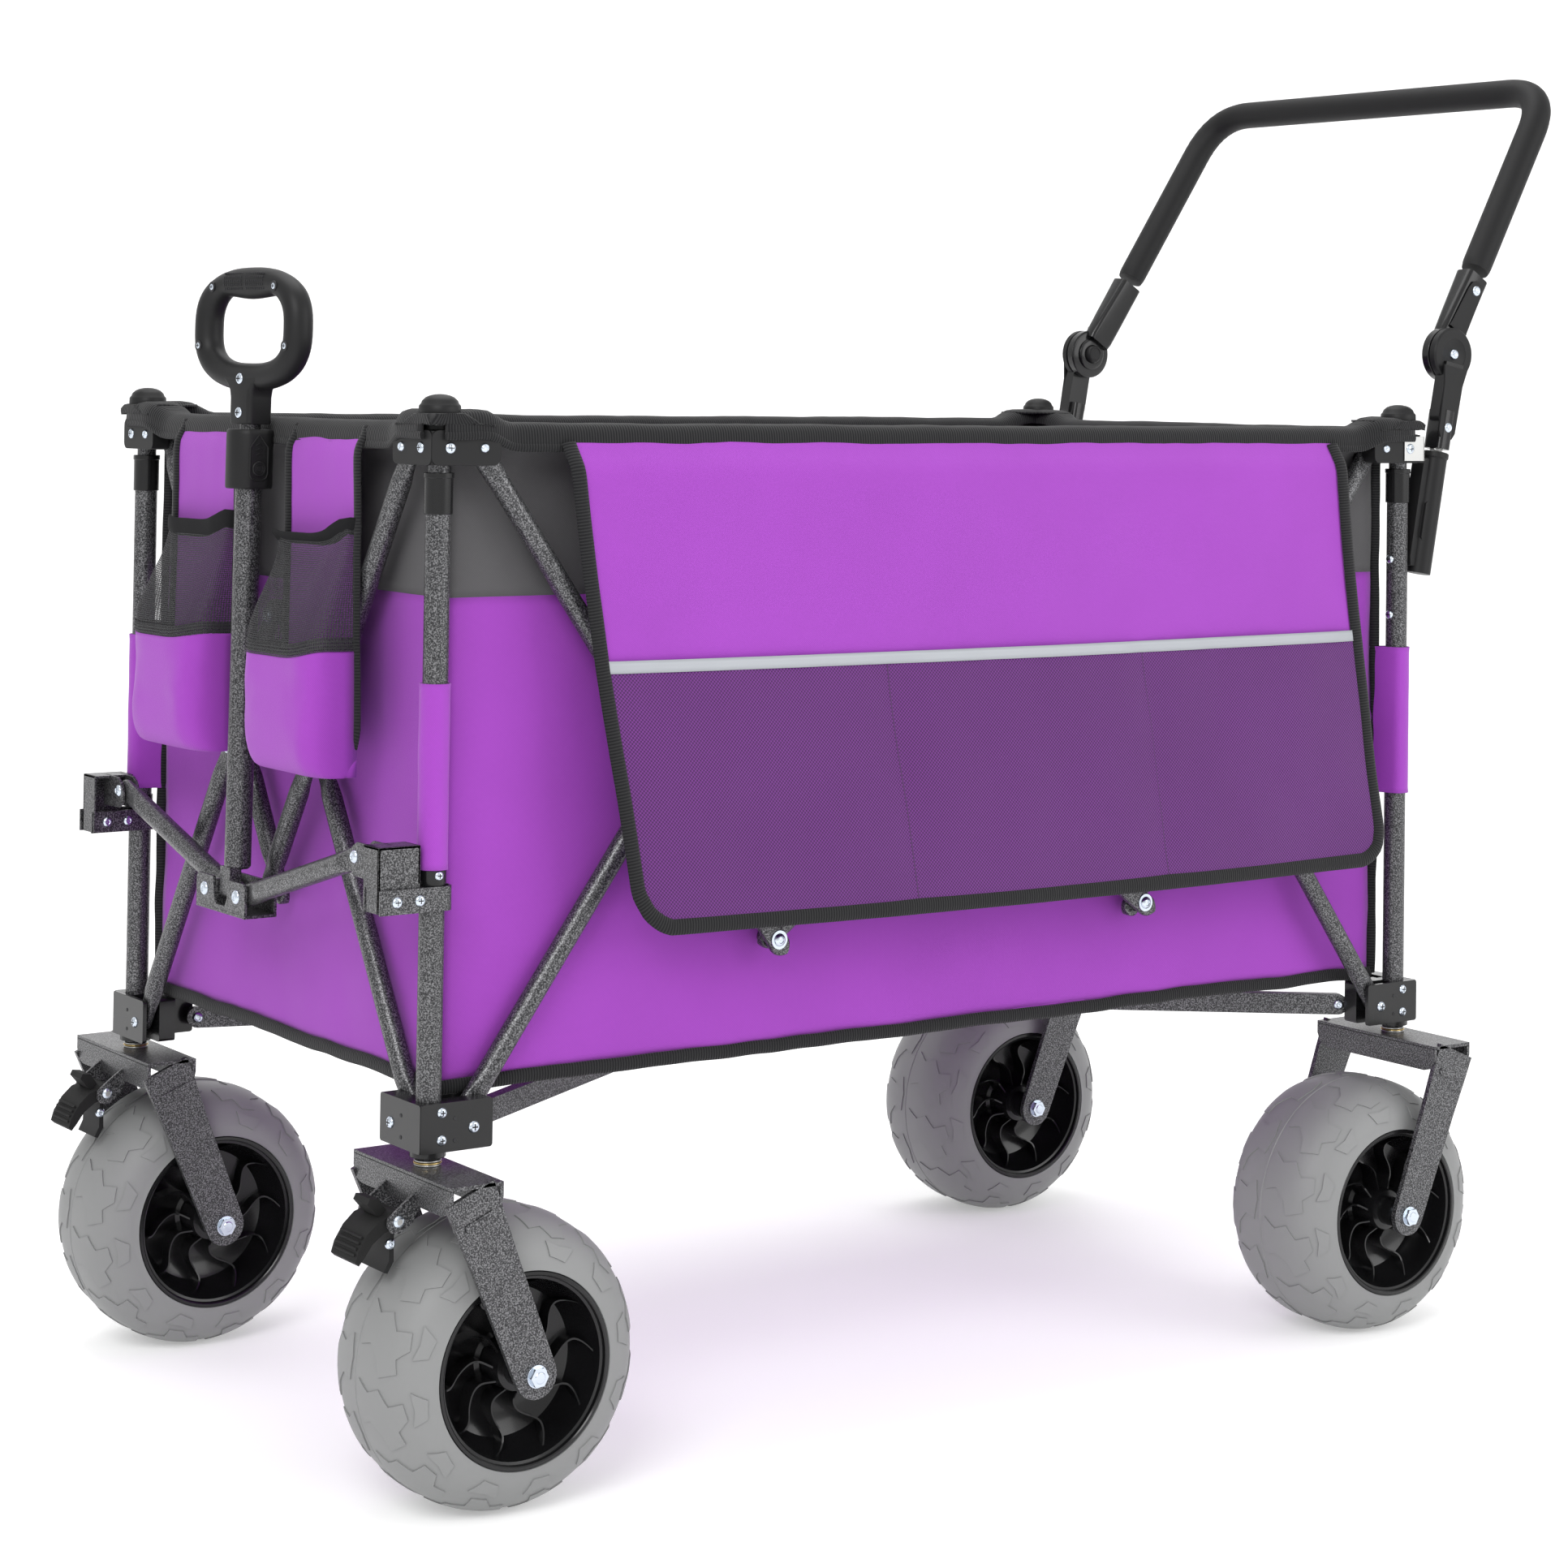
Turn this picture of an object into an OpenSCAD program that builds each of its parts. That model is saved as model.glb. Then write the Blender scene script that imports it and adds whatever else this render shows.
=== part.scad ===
// Folding wagon with telescoping corner legs, scissor sides, pull handle and push handle.
// Front is -X, near side is -Y, floor is z = 0.

/* [Frame] */
// half distance between leg axes along the length
leg_x = 496; // [400:1:600]
// half distance between leg axes across the width
leg_y = 255; // [200:1:320]
// outer diameter of the lower leg tube
leg_d = 19; // [16:0.5:25]
// outer diameter of the telescoping inner tube
post_d = 16; // [12:0.5:20]
// height of the lower bar pivots
z_lo = 266; // [240:1:300]
// height of the upper bar pivots
z_hi = 762; // [700:1:820]
// distance from leg axis to bar pivot
piv = 30; // [26:1:40]

/* [Scissors] */
// height of the low apex of the end scissors
end_drop = 356; // [300:1:400]
// half distance between the side apexes
side_c = 190; // [150:1:230]
// height lost by an end bar of a side scissor
side_drop = 385; // [340:1:420]
// bar thickness across its plane
bar_t = 9; // [6:0.5:12]
// bar height
bar_h = 17; // [14:0.5:20]

/* [Wheels] */
// tyre radius
wheel_r = 109; // [90:1:130]
// tyre width
wheel_w = 116; // [70:1:130]
// caster trail
trail = 52; // [30:1:70]

/* [Fabric] */
// tub half length
tub_x = 480; // [420:1:520]
// tub half width
tub_y = 239; // [200:1:260]
// tub floor underside height
tub_z0 = 292; // [285:1:340]
// tub rim height
tub_z1 = 774; // [700:1:800]
// fabric thickness
tub_t = 3; // [2:0.5:5]

/* [Hidden] */
$fn = 48;
layer = 5.5;
pin_r = 3;
hole_r = 3.06;
z_brk0 = 248;
z_brk1 = 284;
z_top0 = 749;
z_top1 = 775;
z_plate = 237;
boss_d = 52;
hub_gap = 66;
floor_z0 = 262;
floor_z1 = 276;
yoke_z = 405.5;
yoke_x = -528.5;
tilt_x = -534;
hinge_x = 558;
hinge_z = 848;
origin_x = 81.9;
lift = 16;
axle_z = wheel_r - lift;

// ---- helpers ----
// tube from point a to point b
module rod(a, b, d) {
    v = b - a;
    l = norm(v);
    translate(a)
        rotate([0, acos(v[2] / l), atan2(v[1], v[0])])
            cylinder(d = d, h = l);
}

// put a corner built for the near-front leg at another corner
module corner_at(sx, sy) {
    mirror([sx > 0 ? 1 : 0, 0, 0])
        mirror([0, sy > 0 ? 1 : 0, 0])
            children();
}

// flat-ended oval bar lying along +X from the origin, thickness along Z
// pins and holes are [distance, low z, high z]; domes are [distance, side]
module bar(len, tail, pins, holes, domes) {
    difference() {
        union() {
            translate([0, 0, -bar_t / 2])
                cylinder(d = bar_h, h = bar_t);
            intersection() {
                translate([0, 0, 0])
                    rotate([0, 90, 0])
                        cylinder(d = bar_h, h = len + tail);
                translate([0, -bar_h, -bar_t / 2])
                    cube([len + tail, 2 * bar_h, bar_t]);
            }
            for (p = pins)
                translate([p[0], 0, p[1]])
                    cylinder(r = pin_r, h = p[2] - p[1]);
            for (p = pins)
                if (p[3] != 0)
                    translate([p[0], 0, p[3] > 0 ? p[2] - 2.5 : p[1]])
                        cylinder(r = 6, h = 2.5);
            for (d = domes)
                translate([d[0], 0, d[1] > 0 ? bar_t / 2 : -bar_t / 2 - 2.5])
                    cylinder(r = 6, h = 2.5);
        }
        for (h = holes)
            translate([h, 0, -bar_t])
                cylinder(r = hole_r, h = 2 * bar_t);
    }
}

// ---- geometry of the scissors, lengths along each bar ----
end_run = leg_y - piv;
end_len = sqrt(end_run * end_run + end_drop * end_drop);
end_ang = atan2(end_drop, end_run);
end_x = end_len * (z_hi - z_lo) / (2 * end_drop);
side_run = leg_x - piv - side_c;
side_len = sqrt(side_run * side_run + side_drop * side_drop);
side_ang = atan2(side_drop, side_run);
side_cross = side_len * (z_hi - z_lo) / (2 * side_drop);
mid_h = 2 * side_drop - (z_hi - z_lo);
mid_len = sqrt(4 * side_c * side_c + mid_h * mid_h);
mid_ang = atan2(mid_h, 2 * side_c);

// bar in a YZ plane; s is +1 when it starts at the near side
module in_yz(x, s, z, a) {
    translate([x, -s * end_run, z])
        rotate([0, 0, s > 0 ? 90 : -90])
            rotate([90, 0, 0])
                rotate([0, 0, a])
                    children();
}

// bar in an XZ plane; s is +1 when it starts at the front
module in_xz(x, y, z, s, a) {
    translate([x, y, z])
        rotate([0, 0, s > 0 ? 0 : 180])
            rotate([90, 0, 0])
                rotate([0, 0, a])
                    children();
}

// end scissor, wall e = -1 front, +1 rear; s = +1 near, -1 far
// local +Z of in_yz points to +X for s = +1 and to -X for s = -1
module end_upper(e, s) {
    o = s > 0 ? e : -e;
    in_yz(e * (leg_x + s * layer), s, z_hi, -end_ang)
        bar(end_len, 14, [], [end_x], [[end_len, s * o]]);
}

module end_lower(e, s) {
    d = e;
    lo = d > 0 ? -7 : -18.1;
    hi = d > 0 ? 18.1 : 7;
    in_yz(e * (leg_x - s * layer), s, z_lo, end_ang)
        bar(end_len, 14,
            [[0, -9 - (d < 0 ? 0 : 0.4) * 1, 9, 0],
             [end_x, lo, hi, d]],
            [], e < 0 && s < 0 ? [] : [[end_len, -d]]);
}

// side scissor, w = -1 near wall, +1 far wall; s = +1 front, -1 rear
module side_upper(w, s) {
    // local +Z points to -Y for s = +1 and to +Y for s = -1
    n = w * s * -1;
    in_xz(-s * (leg_x - piv), w * (leg_y + s * layer), z_hi, s, -side_ang)
        bar(side_len, 14, [], [side_cross], [[side_len, s * n]]);
}

module side_lower(w, s) {
    n = -w;
    lo = n > 0 ? -7 : -18.1;
    hi = n > 0 ? 18.1 : 7;
    top = s > 0 ? [[0, -9, 9, 0], [side_cross, lo, hi, n], [side_len, lo, hi, n]]
        : [[0, -9, 9, 0], [side_cross, lo, hi, n]];
    dm = s > 0 ? [] : [[side_len, -n]];
    in_xz(-s * (leg_x - piv), w * (leg_y - s * layer), z_lo, s, side_ang)
        bar(side_len, 14, top, [], dm);
}

// middle bars: fall starts at the front upper apex, rise at the front lower apex
module mid_fall(w) {
    n = -w;
    lo = n > 0 ? -18.1 : -7;
    hi = n > 0 ? 7 : 18.1;
    in_xz(-side_c, w * (leg_y + layer), z_lo + side_drop, 1, -mid_ang)
        bar(mid_len, 14, [[mid_len / 2, lo, hi, -n]], [0], [[mid_len, n]]);
}

module mid_rise(w) {
    n = -w;
    in_xz(-side_c, w * (leg_y - layer), z_hi - side_drop, 1, mid_ang)
        bar(mid_len, 14, [], [mid_len / 2], [[0, -n], [mid_len, -n]]);
}

// ---- legs, built at the near-front corner ----
module leg(sx, sy) {
    corner_at(sx, sy)
        translate([-leg_x, -leg_y, 0]) {
            difference() {
                translate([0, 0, z_plate + 5])
                    cylinder(d = leg_d, h = 715 - z_plate - 5);
                translate([0, 0, 230])
                    cylinder(d = post_d + 0.4, h = 600);
            }
            if (sx < 0)
                clamp(sy);
        }
}

// strap round the leg and the box that carries the pull arm
module clamp(sy) {
    front = sy > 0 ? -35 : -47;
    difference() {
        translate([-14, -13, 424])
            cube([28, 26, 18]);
        translate([0, 0, 420])
            cylinder(d = leg_d - 1, h = 30);
    }
    difference() {
        translate([-49, -7, 424])
            cube([36, 22, 48]);
        translate([-48, 4, 420])
            cube([30, 20, 60]);
    }
    for (x = [front, front + 14])
        translate([x, 3, 446])
            cube([2, 38, 26]);
    translate([front, 33, 461])
        rotate([0, 90, 0])
            cylinder(r = pin_r, h = 16);
    translate([front, 3, 446])
        cube([16, 4, 26]);
}

// lower corner bracket with the leg bushing above it
module corner_piece(sx, sy) {
    corner_at(sx, sy)
        translate([-leg_x, -leg_y, 0])
            corner_local(sx > 0 ? -1 : 1, sy > 0 ? -1 : 1);
}

// lx = +1 when the lower side bar is in the inner layer here, ly for the end bar
module corner_local(lx, ly) {
    sy0 = lx > 0 ? 0 : -11;
    sx0 = ly > 0 ? 0 : -11;
    difference() {
        union() {
            translate([-15, -15, z_brk0])
                cube([30, 30, z_brk1 - z_brk0]);
            translate([0, -15, z_brk0])
                cube([46, 30, z_brk1 - z_brk0]);
            translate([-15, 0, z_brk0])
                cube([30, 46, z_brk1 - z_brk0]);
            rotate([0, 0, atan2(leg_y, leg_x)])
                translate([0, -9, z_brk0])
                    cube([boss_d + 8, 18, 3]);
            translate([0, 0, z_plate + 4])
                cylinder(d = 24, h = 8);
        }
        translate([13, sy0, z_brk0 - 1])
            cube([40, 11, 60]);
        translate([sx0, 13, z_brk0 - 1])
            cube([11, 40, 60]);
        translate([0, 0, 200])
            cylinder(d = leg_d + 0.1, h = 100);
        translate([piv, -20, z_lo])
            rotate([-90, 0, 0])
                cylinder(r = hole_r, h = 40);
        translate([-20, piv, z_lo])
            rotate([0, 90, 0])
                cylinder(r = hole_r, h = 40);
    }
    for (z = [257, 275])
        translate([9, -14, z])
            rotate([90, 0, 0])
                cylinder(r = 3.5, h = 2.6);
    for (z = [257, 275])
        translate([-14, 9, z])
            rotate([0, -90, 0])
                cylinder(r = 3.5, h = 2.6);
    difference() {
        translate([0, 0, 715])
            cylinder(d = 21, h = 28);
        translate([0, 0, 700])
            cylinder(d = post_d + 0.16, h = 60);
    }
}

// telescoping inner tube with its upper bracket and dome cap
module post(sx, sy) {
    corner_at(sx, sy)
        translate([-leg_x, -leg_y, 0])
            post_local(sx > 0 ? -1 : 1, sy > 0 ? -1 : 1);
}

module post_local(lx, ly) {
    sy0 = lx > 0 ? -11 : 0;
    sx0 = ly > 0 ? -11 : 0;
    translate([0, 0, 560])
        cylinder(d = post_d, h = 200);
    difference() {
        union() {
            translate([-15, -15, z_top0])
                cube([30, 30, z_top1 - z_top0]);
            translate([0, -15, z_top0])
                cube([44, 30, z_top1 - z_top0]);
            translate([-15, 0, z_top0])
                cube([30, 44, z_top1 - z_top0]);
        }
        translate([13, sy0, z_top0 - 1])
            cube([40, 11, 60]);
        translate([sx0, 13, z_top0 - 1])
            cube([11, 40, 60]);
    }
    translate([piv, -14, z_hi])
        rotate([90, 0, 0])
            cylinder(r = 5, h = 3);
    translate([-14, piv, z_hi])
        rotate([0, -90, 0])
            cylinder(r = 5, h = 3);
    translate([0, 0, z_top1])
        cylinder(d = 22, h = 11);
    translate([0, 0, 786])
        intersection() {
            translate([0, 0, -1.3])
                sphere(r = 16.4);
            cylinder(r = 15.5, h = 20);
        }
}

// ---- floor cross ----
module floor_bar(sx, sy) {
    a = atan2(leg_y, leg_x);
    run = norm([leg_x, leg_y]) - boss_d - hub_gap;
    tilt = atan2(floor_z1 - floor_z0, run);
    corner_at(sx, sy)
        translate([-leg_x, -leg_y, floor_z0])
            rotate([0, 0, a])
                translate([boss_d, 0, 0])
                    rotate([0, -tilt, 0])
                        floor_bar_local(run / cos(tilt));
    corner_at(sx, sy)
        floor_pins();
}

module floor_bar_local(len) {
    translate([0, 5, 0])
        rotate([90, 0, 0])
            cylinder(r = 9, h = 10);
    translate([0, -5, -9])
        cube([len, 10, 18]);
    translate([len, 5, 0])
        rotate([90, 0, 0])
            cylinder(r = 9, h = 10);
}

// axis about which a floor bar folds, at the near-front corner
fold_dx = 95.2514;
fold_dy = 92;
floor_u = [leg_x, leg_y] / norm([leg_x, leg_y]);
floor_run = norm([leg_x, leg_y]) - boss_d - hub_gap;
floor_len = norm([floor_run, floor_z1 - floor_z0]);
floor_d0 = [floor_u[0] * floor_run, floor_u[1] * floor_run, floor_z1 - floor_z0] / floor_len;
floor_h = [leg_x - fold_dx, leg_y - fold_dy] - (boss_d + hub_gap) * floor_u;
floor_d1 = [floor_h[0], floor_h[1], sqrt(floor_len * floor_len - floor_h * floor_h)] / floor_len;
floor_n = cross(floor_d0, floor_d1) / norm(cross(floor_d0, floor_d1));

module floor_pins() {
    for (t = [0, floor_len])
        translate([-leg_x + boss_d * floor_u[0], -leg_y + boss_d * floor_u[1], floor_z0] + t * floor_d0)
            rotate([0, acos(floor_n[2]), atan2(floor_n[1], floor_n[0])])
                translate([0, 0, -6.4])
                    cylinder(r = 4, h = 12.8);
}

module floor_hub_part() {
    difference() {
        translate([0, 0, 286.5])
            cylinder(r = 84, h = 4);
        for (a = [0:90:270])
            rotate([0, 0, a])
                translate([52, 0, 280])
                    cylinder(r = 9, h = 20);
    }
}

// ---- casters ----
module fork(sx, sy) {
    translate([sx * leg_x, sy * leg_y, 0])
        rotate([0, 0, sx > 0 ? 180 : 0])
            fork_local(sx < 0);
}

module fork_local(brake) {
    leg_l = norm([trail, 218 - axle_z]);
    leg_a = atan2(trail, 218 - axle_z);
    // swivel stack
    translate([0, 0, z_plate - 0.5])
        cylinder(d = 17, h = 4.2);
    translate([0, 0, z_plate])
        cylinder(d = post_d + 0.25, h = 52);
    // channel plate over the wheel
    difference() {
        translate([-22, -73, z_plate - 22])
            cube([44, 146, 22]);
        translate([-19, -70, z_plate - 30])
            cube([60, 140, 27]);
    }
    for (s = [-1, 1])
        translate([0, s * 71.5, 218])
            rotate([0, -leg_a, 0])
                difference() {
                    union() {
                        translate([-17, -1.5, -leg_l])
                            cube([34, 3, leg_l]);
                        translate([-20, -1.5, -40])
                            cube([40, 3, 46]);
                        translate([0, 1.5, -leg_l])
                            rotate([90, 0, 0])
                                cylinder(r = 17, h = 3);
                    }
                }
    // axle bolt and its nuts
    translate([trail, 77, axle_z])
        rotate([90, 0, 0])
            cylinder(r = 5, h = 154);
    for (s = [-1, 1])
        translate([trail, s * 73 + (s > 0 ? 5 : 0), axle_z])
            rotate([90, 0, 0])
                cylinder(r = 8, h = 5, $fn = 6);
    if (brake)
        for (s = [-1, 1])
            translate([-22, s * 22 - 1, 198])
                difference() {
                    translate([-20, 0, 0])
                        cube([22, 2, 18]);
                    translate([-14, 5, 7])
                        rotate([90, 0, 0])
                            cylinder(r = hole_r, h = 10);
                }
}

module wheel(sx, sy) {
    translate([sx * leg_x - sx * trail, sy * leg_y, axle_z])
        rotate([90, 0, 0])
            wheel_local();
}

// balloon section: u runs from -1 to 1 across the tyre
function tyre_point(u, hw) =
    [66 + (wheel_r - 66) * pow(max(0, 1 - pow(abs(u), 2.8)), 1 / 2.1), u * hw];

module wheel_local() {
    hw = wheel_w / 2;
    difference() {
        union() {
            rotate_extrude($fn = 72)
                polygon([for (i = [0:16]) tyre_point(-1 + i / 8, hw)]);
            rotate_extrude($fn = 72)
                translate([60, -hw + 8])
                    square([10, wheel_w - 16]);
            translate([0, 0, -22])
                cylinder(r = 64, h = 44);
            translate([0, 0, -61])
                cylinder(r = 15, h = 122);
        }
        translate([0, 0, -75])
            cylinder(r = 5.08, h = 150);
    }
}

module brake_pedal(sy) {
    translate([-leg_x - 36, sy * leg_y, 205]) {
        difference() {
            union() {
                translate([0, 25.5, 0])
                    rotate([90, 0, 0])
                        cylinder(r = 3, h = 51);
                translate([0, 19, 0])
                    rotate([90, 0, 0])
                        cylinder(r = 7, h = 38);
                translate([-30, -19, -24])
                    rotate([0, -38, 0])
                        cube([36, 38, 6]);
                translate([-3, -17, -38])
                    cube([3, 34, 34]);
            }
        }
    }
}

// ---- pull handle ----
arm_run = 194;
arm_drop = 55.5;
arm_len = norm([arm_run, arm_drop]);
arm_ang = atan2(arm_drop, arm_run);

module pull_arm(sy) {
    x = sy < 0 ? -540 : -528;
    translate([x, sy * 222, 461])
        rotate([0, 0, sy < 0 ? 90 : -90])
            rotate([90, 0, 0])
                rotate([0, 0, -arm_ang])
                    translate([0, 0, sy < 0 ? 0 : -10])
                        pull_arm_local();
}

module pull_arm_local() {
    difference() {
        union() {
            translate([0, -9, 0])
                cube([arm_len, 18, 10]);
            for (x = [0, arm_len])
                translate([x, 0, 0])
                    cylinder(r = 9, h = 10);
        }
        translate([16, -6, 3])
            cube([arm_len - 32, 12, 10]);
        for (x = [0, arm_len])
            translate([x, 0, -1])
                cylinder(r = hole_r, h = 20);
    }
}

module pull_yoke_part() {
    // front and back plates joined by a web under the tube
    difference() {
        translate([-543, -43, yoke_z - 13])
            cube([2.5, 86, 24.5]);
        translate([-545, -12, yoke_z - 10.8])
            cube([7, 24, 30]);
    }
    translate([-517.4, -43, yoke_z - 13])
        cube([2.5, 86, 24.5]);
    translate([-543, -15, yoke_z - 15.5])
        cube([28.1, 30, 3]);
    for (y = [-28, 28]) {
        translate([-543, y, yoke_z])
            rotate([0, 90, 0])
                cylinder(r = pin_r, h = y < 0 ? 28 : 14);
        translate([-545, y, yoke_z])
            rotate([0, 90, 0])
                cylinder(r = 6, h = 2.5);
    }
    difference() {
        for (y = [-15, 12])
            translate([-542, y, yoke_z - 15])
                cube([12.4, 3, 24]);
        translate([tilt_x, 20, yoke_z])
            rotate([90, 0, 0])
                cylinder(r = hole_r, h = 40);
    }
}

pull_lean = 0.7;
module pull_frame() {
    translate([yoke_x, 0, yoke_z])
        rotate([0, pull_lean, 0])
            children();
}

module pull_tube_part() {
    // flattened foot on the tilt pin, in front of the far arm
    translate([tilt_x, 15.5, yoke_z])
        rotate([90, 0, 0])
            cylinder(r = pin_r, h = 31);
    pull_frame()
        difference() {
            union() {
                cylinder(d = 21, h = 322);
                sphere(d = 21);
                translate([0, 0, 320])
                    cylinder(d = 34, h = 46);
            }
            translate([0, 0, 20])
                cylinder(d = 16.5, h = 360);
            translate([-0.8, -20, -20])
                cube([20, 40, 38]);
            translate([0, -24, 342])
                rotate([-90, 0, 0])
                    cylinder(r = 6.1, h = 13);
        }
}

module pull_button_part() {
    pull_frame()
        translate([0, -18.6, 342])
            rotate([-90, 0, 0])
                cylinder(r = 6, h = 5);
}

module pull_grip_part() {
    pull_frame() {
        translate([0, 0, 30])
            cylinder(d = 16.3, h = 345);
        difference() {
            union() {
                translate([-12, -15, 374])
                    cube([24, 30, 34]);
                translate([-13, -38, 402])
                    cube([26, 76, 96]);
                for (s = [-1, 1])
                    translate([-13, s * 36, 450])
                        rotate([0, 90, 0])
                            cylinder(r = 37, h = 26);
                translate([-13, -73, 450])
                    cube([26, 146, 11]);
                for (s = [-1, 1])
                    translate([-13, s * 36, 461])
                        rotate([0, 90, 0])
                            cylinder(r = 37, h = 26);
            }
            translate([-20, -49, 438])
                cube([40, 98, 22]);
            for (s = [-1, 1])
                for (z = [438, 460])
                    translate([-20, s * 33, z])
                        rotate([0, 90, 0])
                            cylinder(r = 16, h = 40);
            translate([-20, -33, 422])
                cube([40, 66, 54]);
        }
    }
}

// ---- push handle ----
post_lean = 10.9;
bar_lean = 27;
bar_in = 13;

module push_bar_part() {
    a0 = [hinge_x, -247, hinge_z];
    a1 = [hinge_x + 132.5, -233.7, hinge_z + 211.7];
    a2 = [hinge_x + 152.4, -219.2, hinge_z + 243.4];
    a3 = [hinge_x + 159, -181, hinge_z + 254];
    for (s = [0, 1])
        mirror([0, s, 0]) {
            rod(a0 + 0.3 * (a1 - a0), a1, 24);
            translate(a1)
                sphere(d = 25);
            rod(a1, a2, 24);
            translate(a2)
                sphere(d = 25);
            rod(a2, a3, 24);
            translate(a3)
                sphere(d = 25);
            difference() {
                union() {
                    translate([hinge_x, -246, hinge_z])
                        rotate([90, 0, 0])
                            cylinder(r = 20, h = 9);
                    rod(a0 + 0.03 * (a1 - a0), a0 + 0.32 * (a1 - a0), 16);
                }
                translate([hinge_x, -225, hinge_z])
                    rotate([90, 0, 0])
                        cylinder(r = 9.1, h = 27);
            }
        }
    rod(a3, [a3[0], -a3[1], a3[2]], 24);
}

module push_button(s) {
    mirror([0, s > 0 ? 1 : 0, 0])
        translate([hinge_x, -238, hinge_z])
            rotate([90, 0, 0])
                cylinder(r = 9, h = 8);
}

module push_posts_part() {
    for (s = [0, 1])
        mirror([0, s, 0])
            translate([hinge_x, -leg_y - 5.5, hinge_z]) {
                rotate([90, 0, 0])
                    translate([0, 0, -4])
                        cylinder(r = 20, h = 8);
                rotate([0, post_lean, 0]) {
                    translate([-9, -3.5, -60])
                        cube([18, 7, 50]);
                    translate([0, 2, -150])
                        cylinder(d = 16, h = 110);
                    translate([-12, -10, -200])
                        cube([24, 24, 108]);
                }
            }
}

// ---- fabric ----
module tub_part() {
    difference() {
        translate([-tub_x, -tub_y, tub_z0])
            cube([2 * tub_x, 2 * tub_y, tub_z1 - tub_z0]);
        translate([-tub_x + tub_t, -tub_y + tub_t, tub_z0 + tub_t])
            cube([2 * (tub_x - tub_t), 2 * (tub_y - tub_t), tub_z1]);
    }
}

module side_flaps_part() {
    for (s = [0, 1])
        mirror([0, s, 0])
            difference() {
                translate([-393, -279, 402])
                    cube([793, 279 - tub_y + tub_t, 376]);
                translate([-400, -276, 400])
                    cube([810, 300, tub_z1 + 0.5 - 400]);
            }
}

module cup_pockets_part() {
    for (s = [0, 1])
        mirror([0, s, 0]) {
            translate([-512, 45, 520])
                cube([3, 113, 258]);
            translate([-512, 45, 775])
                cube([33, 113, 3]);
            difference() {
                translate([-554, 45, 512])
                    cube([43, 111, 192]);
                translate([-552, 47, 514])
                    cube([39, 107, 200]);
            }
        }
}

// ---- nodes ----
// the origin is on the floor under the middle of the whole wagon
module put() {
    translate([-origin_x, 0, lift])
        children();
}

color("DimGray") put() leg(-1, -1);  // leg_nf
color("DimGray") put() leg(-1, 1);  // leg_ff
color("DimGray") put() leg(1, -1);  // leg_nr
color("DimGray") put() leg(1, 1);  // leg_fr
color("Black") put() corner_piece(-1, -1);  // corner_nf
color("Black") put() corner_piece(-1, 1);  // corner_ff
color("Black") put() corner_piece(1, -1);  // corner_nr
color("Black") put() corner_piece(1, 1);  // corner_fr
color("Gray") put() post(-1, -1);  // post_nf
color("Gray") put() post(-1, 1);  // post_ff
color("Gray") put() post(1, -1);  // post_nr
color("Gray") put() post(1, 1);  // post_fr
color("SlateGray") put() end_upper(-1, 1);  // front_upper_near
color("SlateGray") put() end_lower(-1, 1);  // front_lower_near
color("SlateGray") put() end_upper(-1, -1);  // front_upper_far
color("SlateGray") put() end_lower(-1, -1);  // front_lower_far
color("SlateGray") put() end_upper(1, 1);  // rear_upper_near
color("SlateGray") put() end_lower(1, 1);  // rear_lower_near
color("SlateGray") put() end_upper(1, -1);  // rear_upper_far
color("SlateGray") put() end_lower(1, -1);  // rear_lower_far
color("SlateGray") put() side_upper(-1, 1);  // near_upper_front
color("SlateGray") put() side_lower(-1, 1);  // near_lower_front
color("SlateGray") put() mid_fall(-1);  // near_mid_fall
color("SlateGray") put() mid_rise(-1);  // near_mid_rise
color("SlateGray") put() side_upper(-1, -1);  // near_upper_rear
color("SlateGray") put() side_lower(-1, -1);  // near_lower_rear
color("SlateGray") put() side_upper(1, 1);  // far_upper_front
color("SlateGray") put() side_lower(1, 1);  // far_lower_front
color("SlateGray") put() mid_fall(1);  // far_mid_fall
color("SlateGray") put() mid_rise(1);  // far_mid_rise
color("SlateGray") put() side_upper(1, -1);  // far_upper_rear
color("SlateGray") put() side_lower(1, -1);  // far_lower_rear
color("Gray") put() floor_bar(-1, -1);  // floor_bar_nf
color("Gray") put() floor_bar(-1, 1);  // floor_bar_ff
color("Gray") put() floor_bar(1, -1);  // floor_bar_nr
color("Gray") put() floor_bar(1, 1);  // floor_bar_fr
color("Black") put() floor_hub_part();  // floor_hub
color("DimGray") put() fork(-1, -1);  // fork_nf
color("DimGray") put() fork(-1, 1);  // fork_ff
color("DimGray") put() fork(1, -1);  // fork_nr
color("DimGray") put() fork(1, 1);  // fork_fr
color("Silver") put() wheel(-1, -1);  // wheel_nf
color("Silver") put() wheel(-1, 1);  // wheel_ff
color("Silver") put() wheel(1, -1);  // wheel_nr
color("Silver") put() wheel(1, 1);  // wheel_fr
color("Black") put() brake_pedal(-1);  // brake_near
color("Black") put() brake_pedal(1);  // brake_far
color("DimGray") put() pull_arm(-1);  // pull_arm_near
color("DimGray") put() pull_arm(1);  // pull_arm_far
color("DimGray") put() pull_yoke_part();  // pull_yoke
color("Gray") put() pull_tube_part();  // pull_tube
color("Black") put() pull_grip_part();  // pull_grip
color("Silver") put() pull_button_part();  // pull_button
color("Black") put() push_bar_part();  // push_bar
color("Black") put() push_posts_part();  // push_posts
color("Black") put() push_button(-1);  // push_button_near
color("Black") put() push_button(1);  // push_button_far
color("Purple") put() tub_part();  // tub
color("Purple") put() side_flaps_part();  // side_flaps
color("Purple") put() cup_pockets_part();  // cup_pockets
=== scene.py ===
import bpy
import bmesh
import math
import numpy as np
from mathutils import Vector, Matrix, geometry, noise


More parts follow.
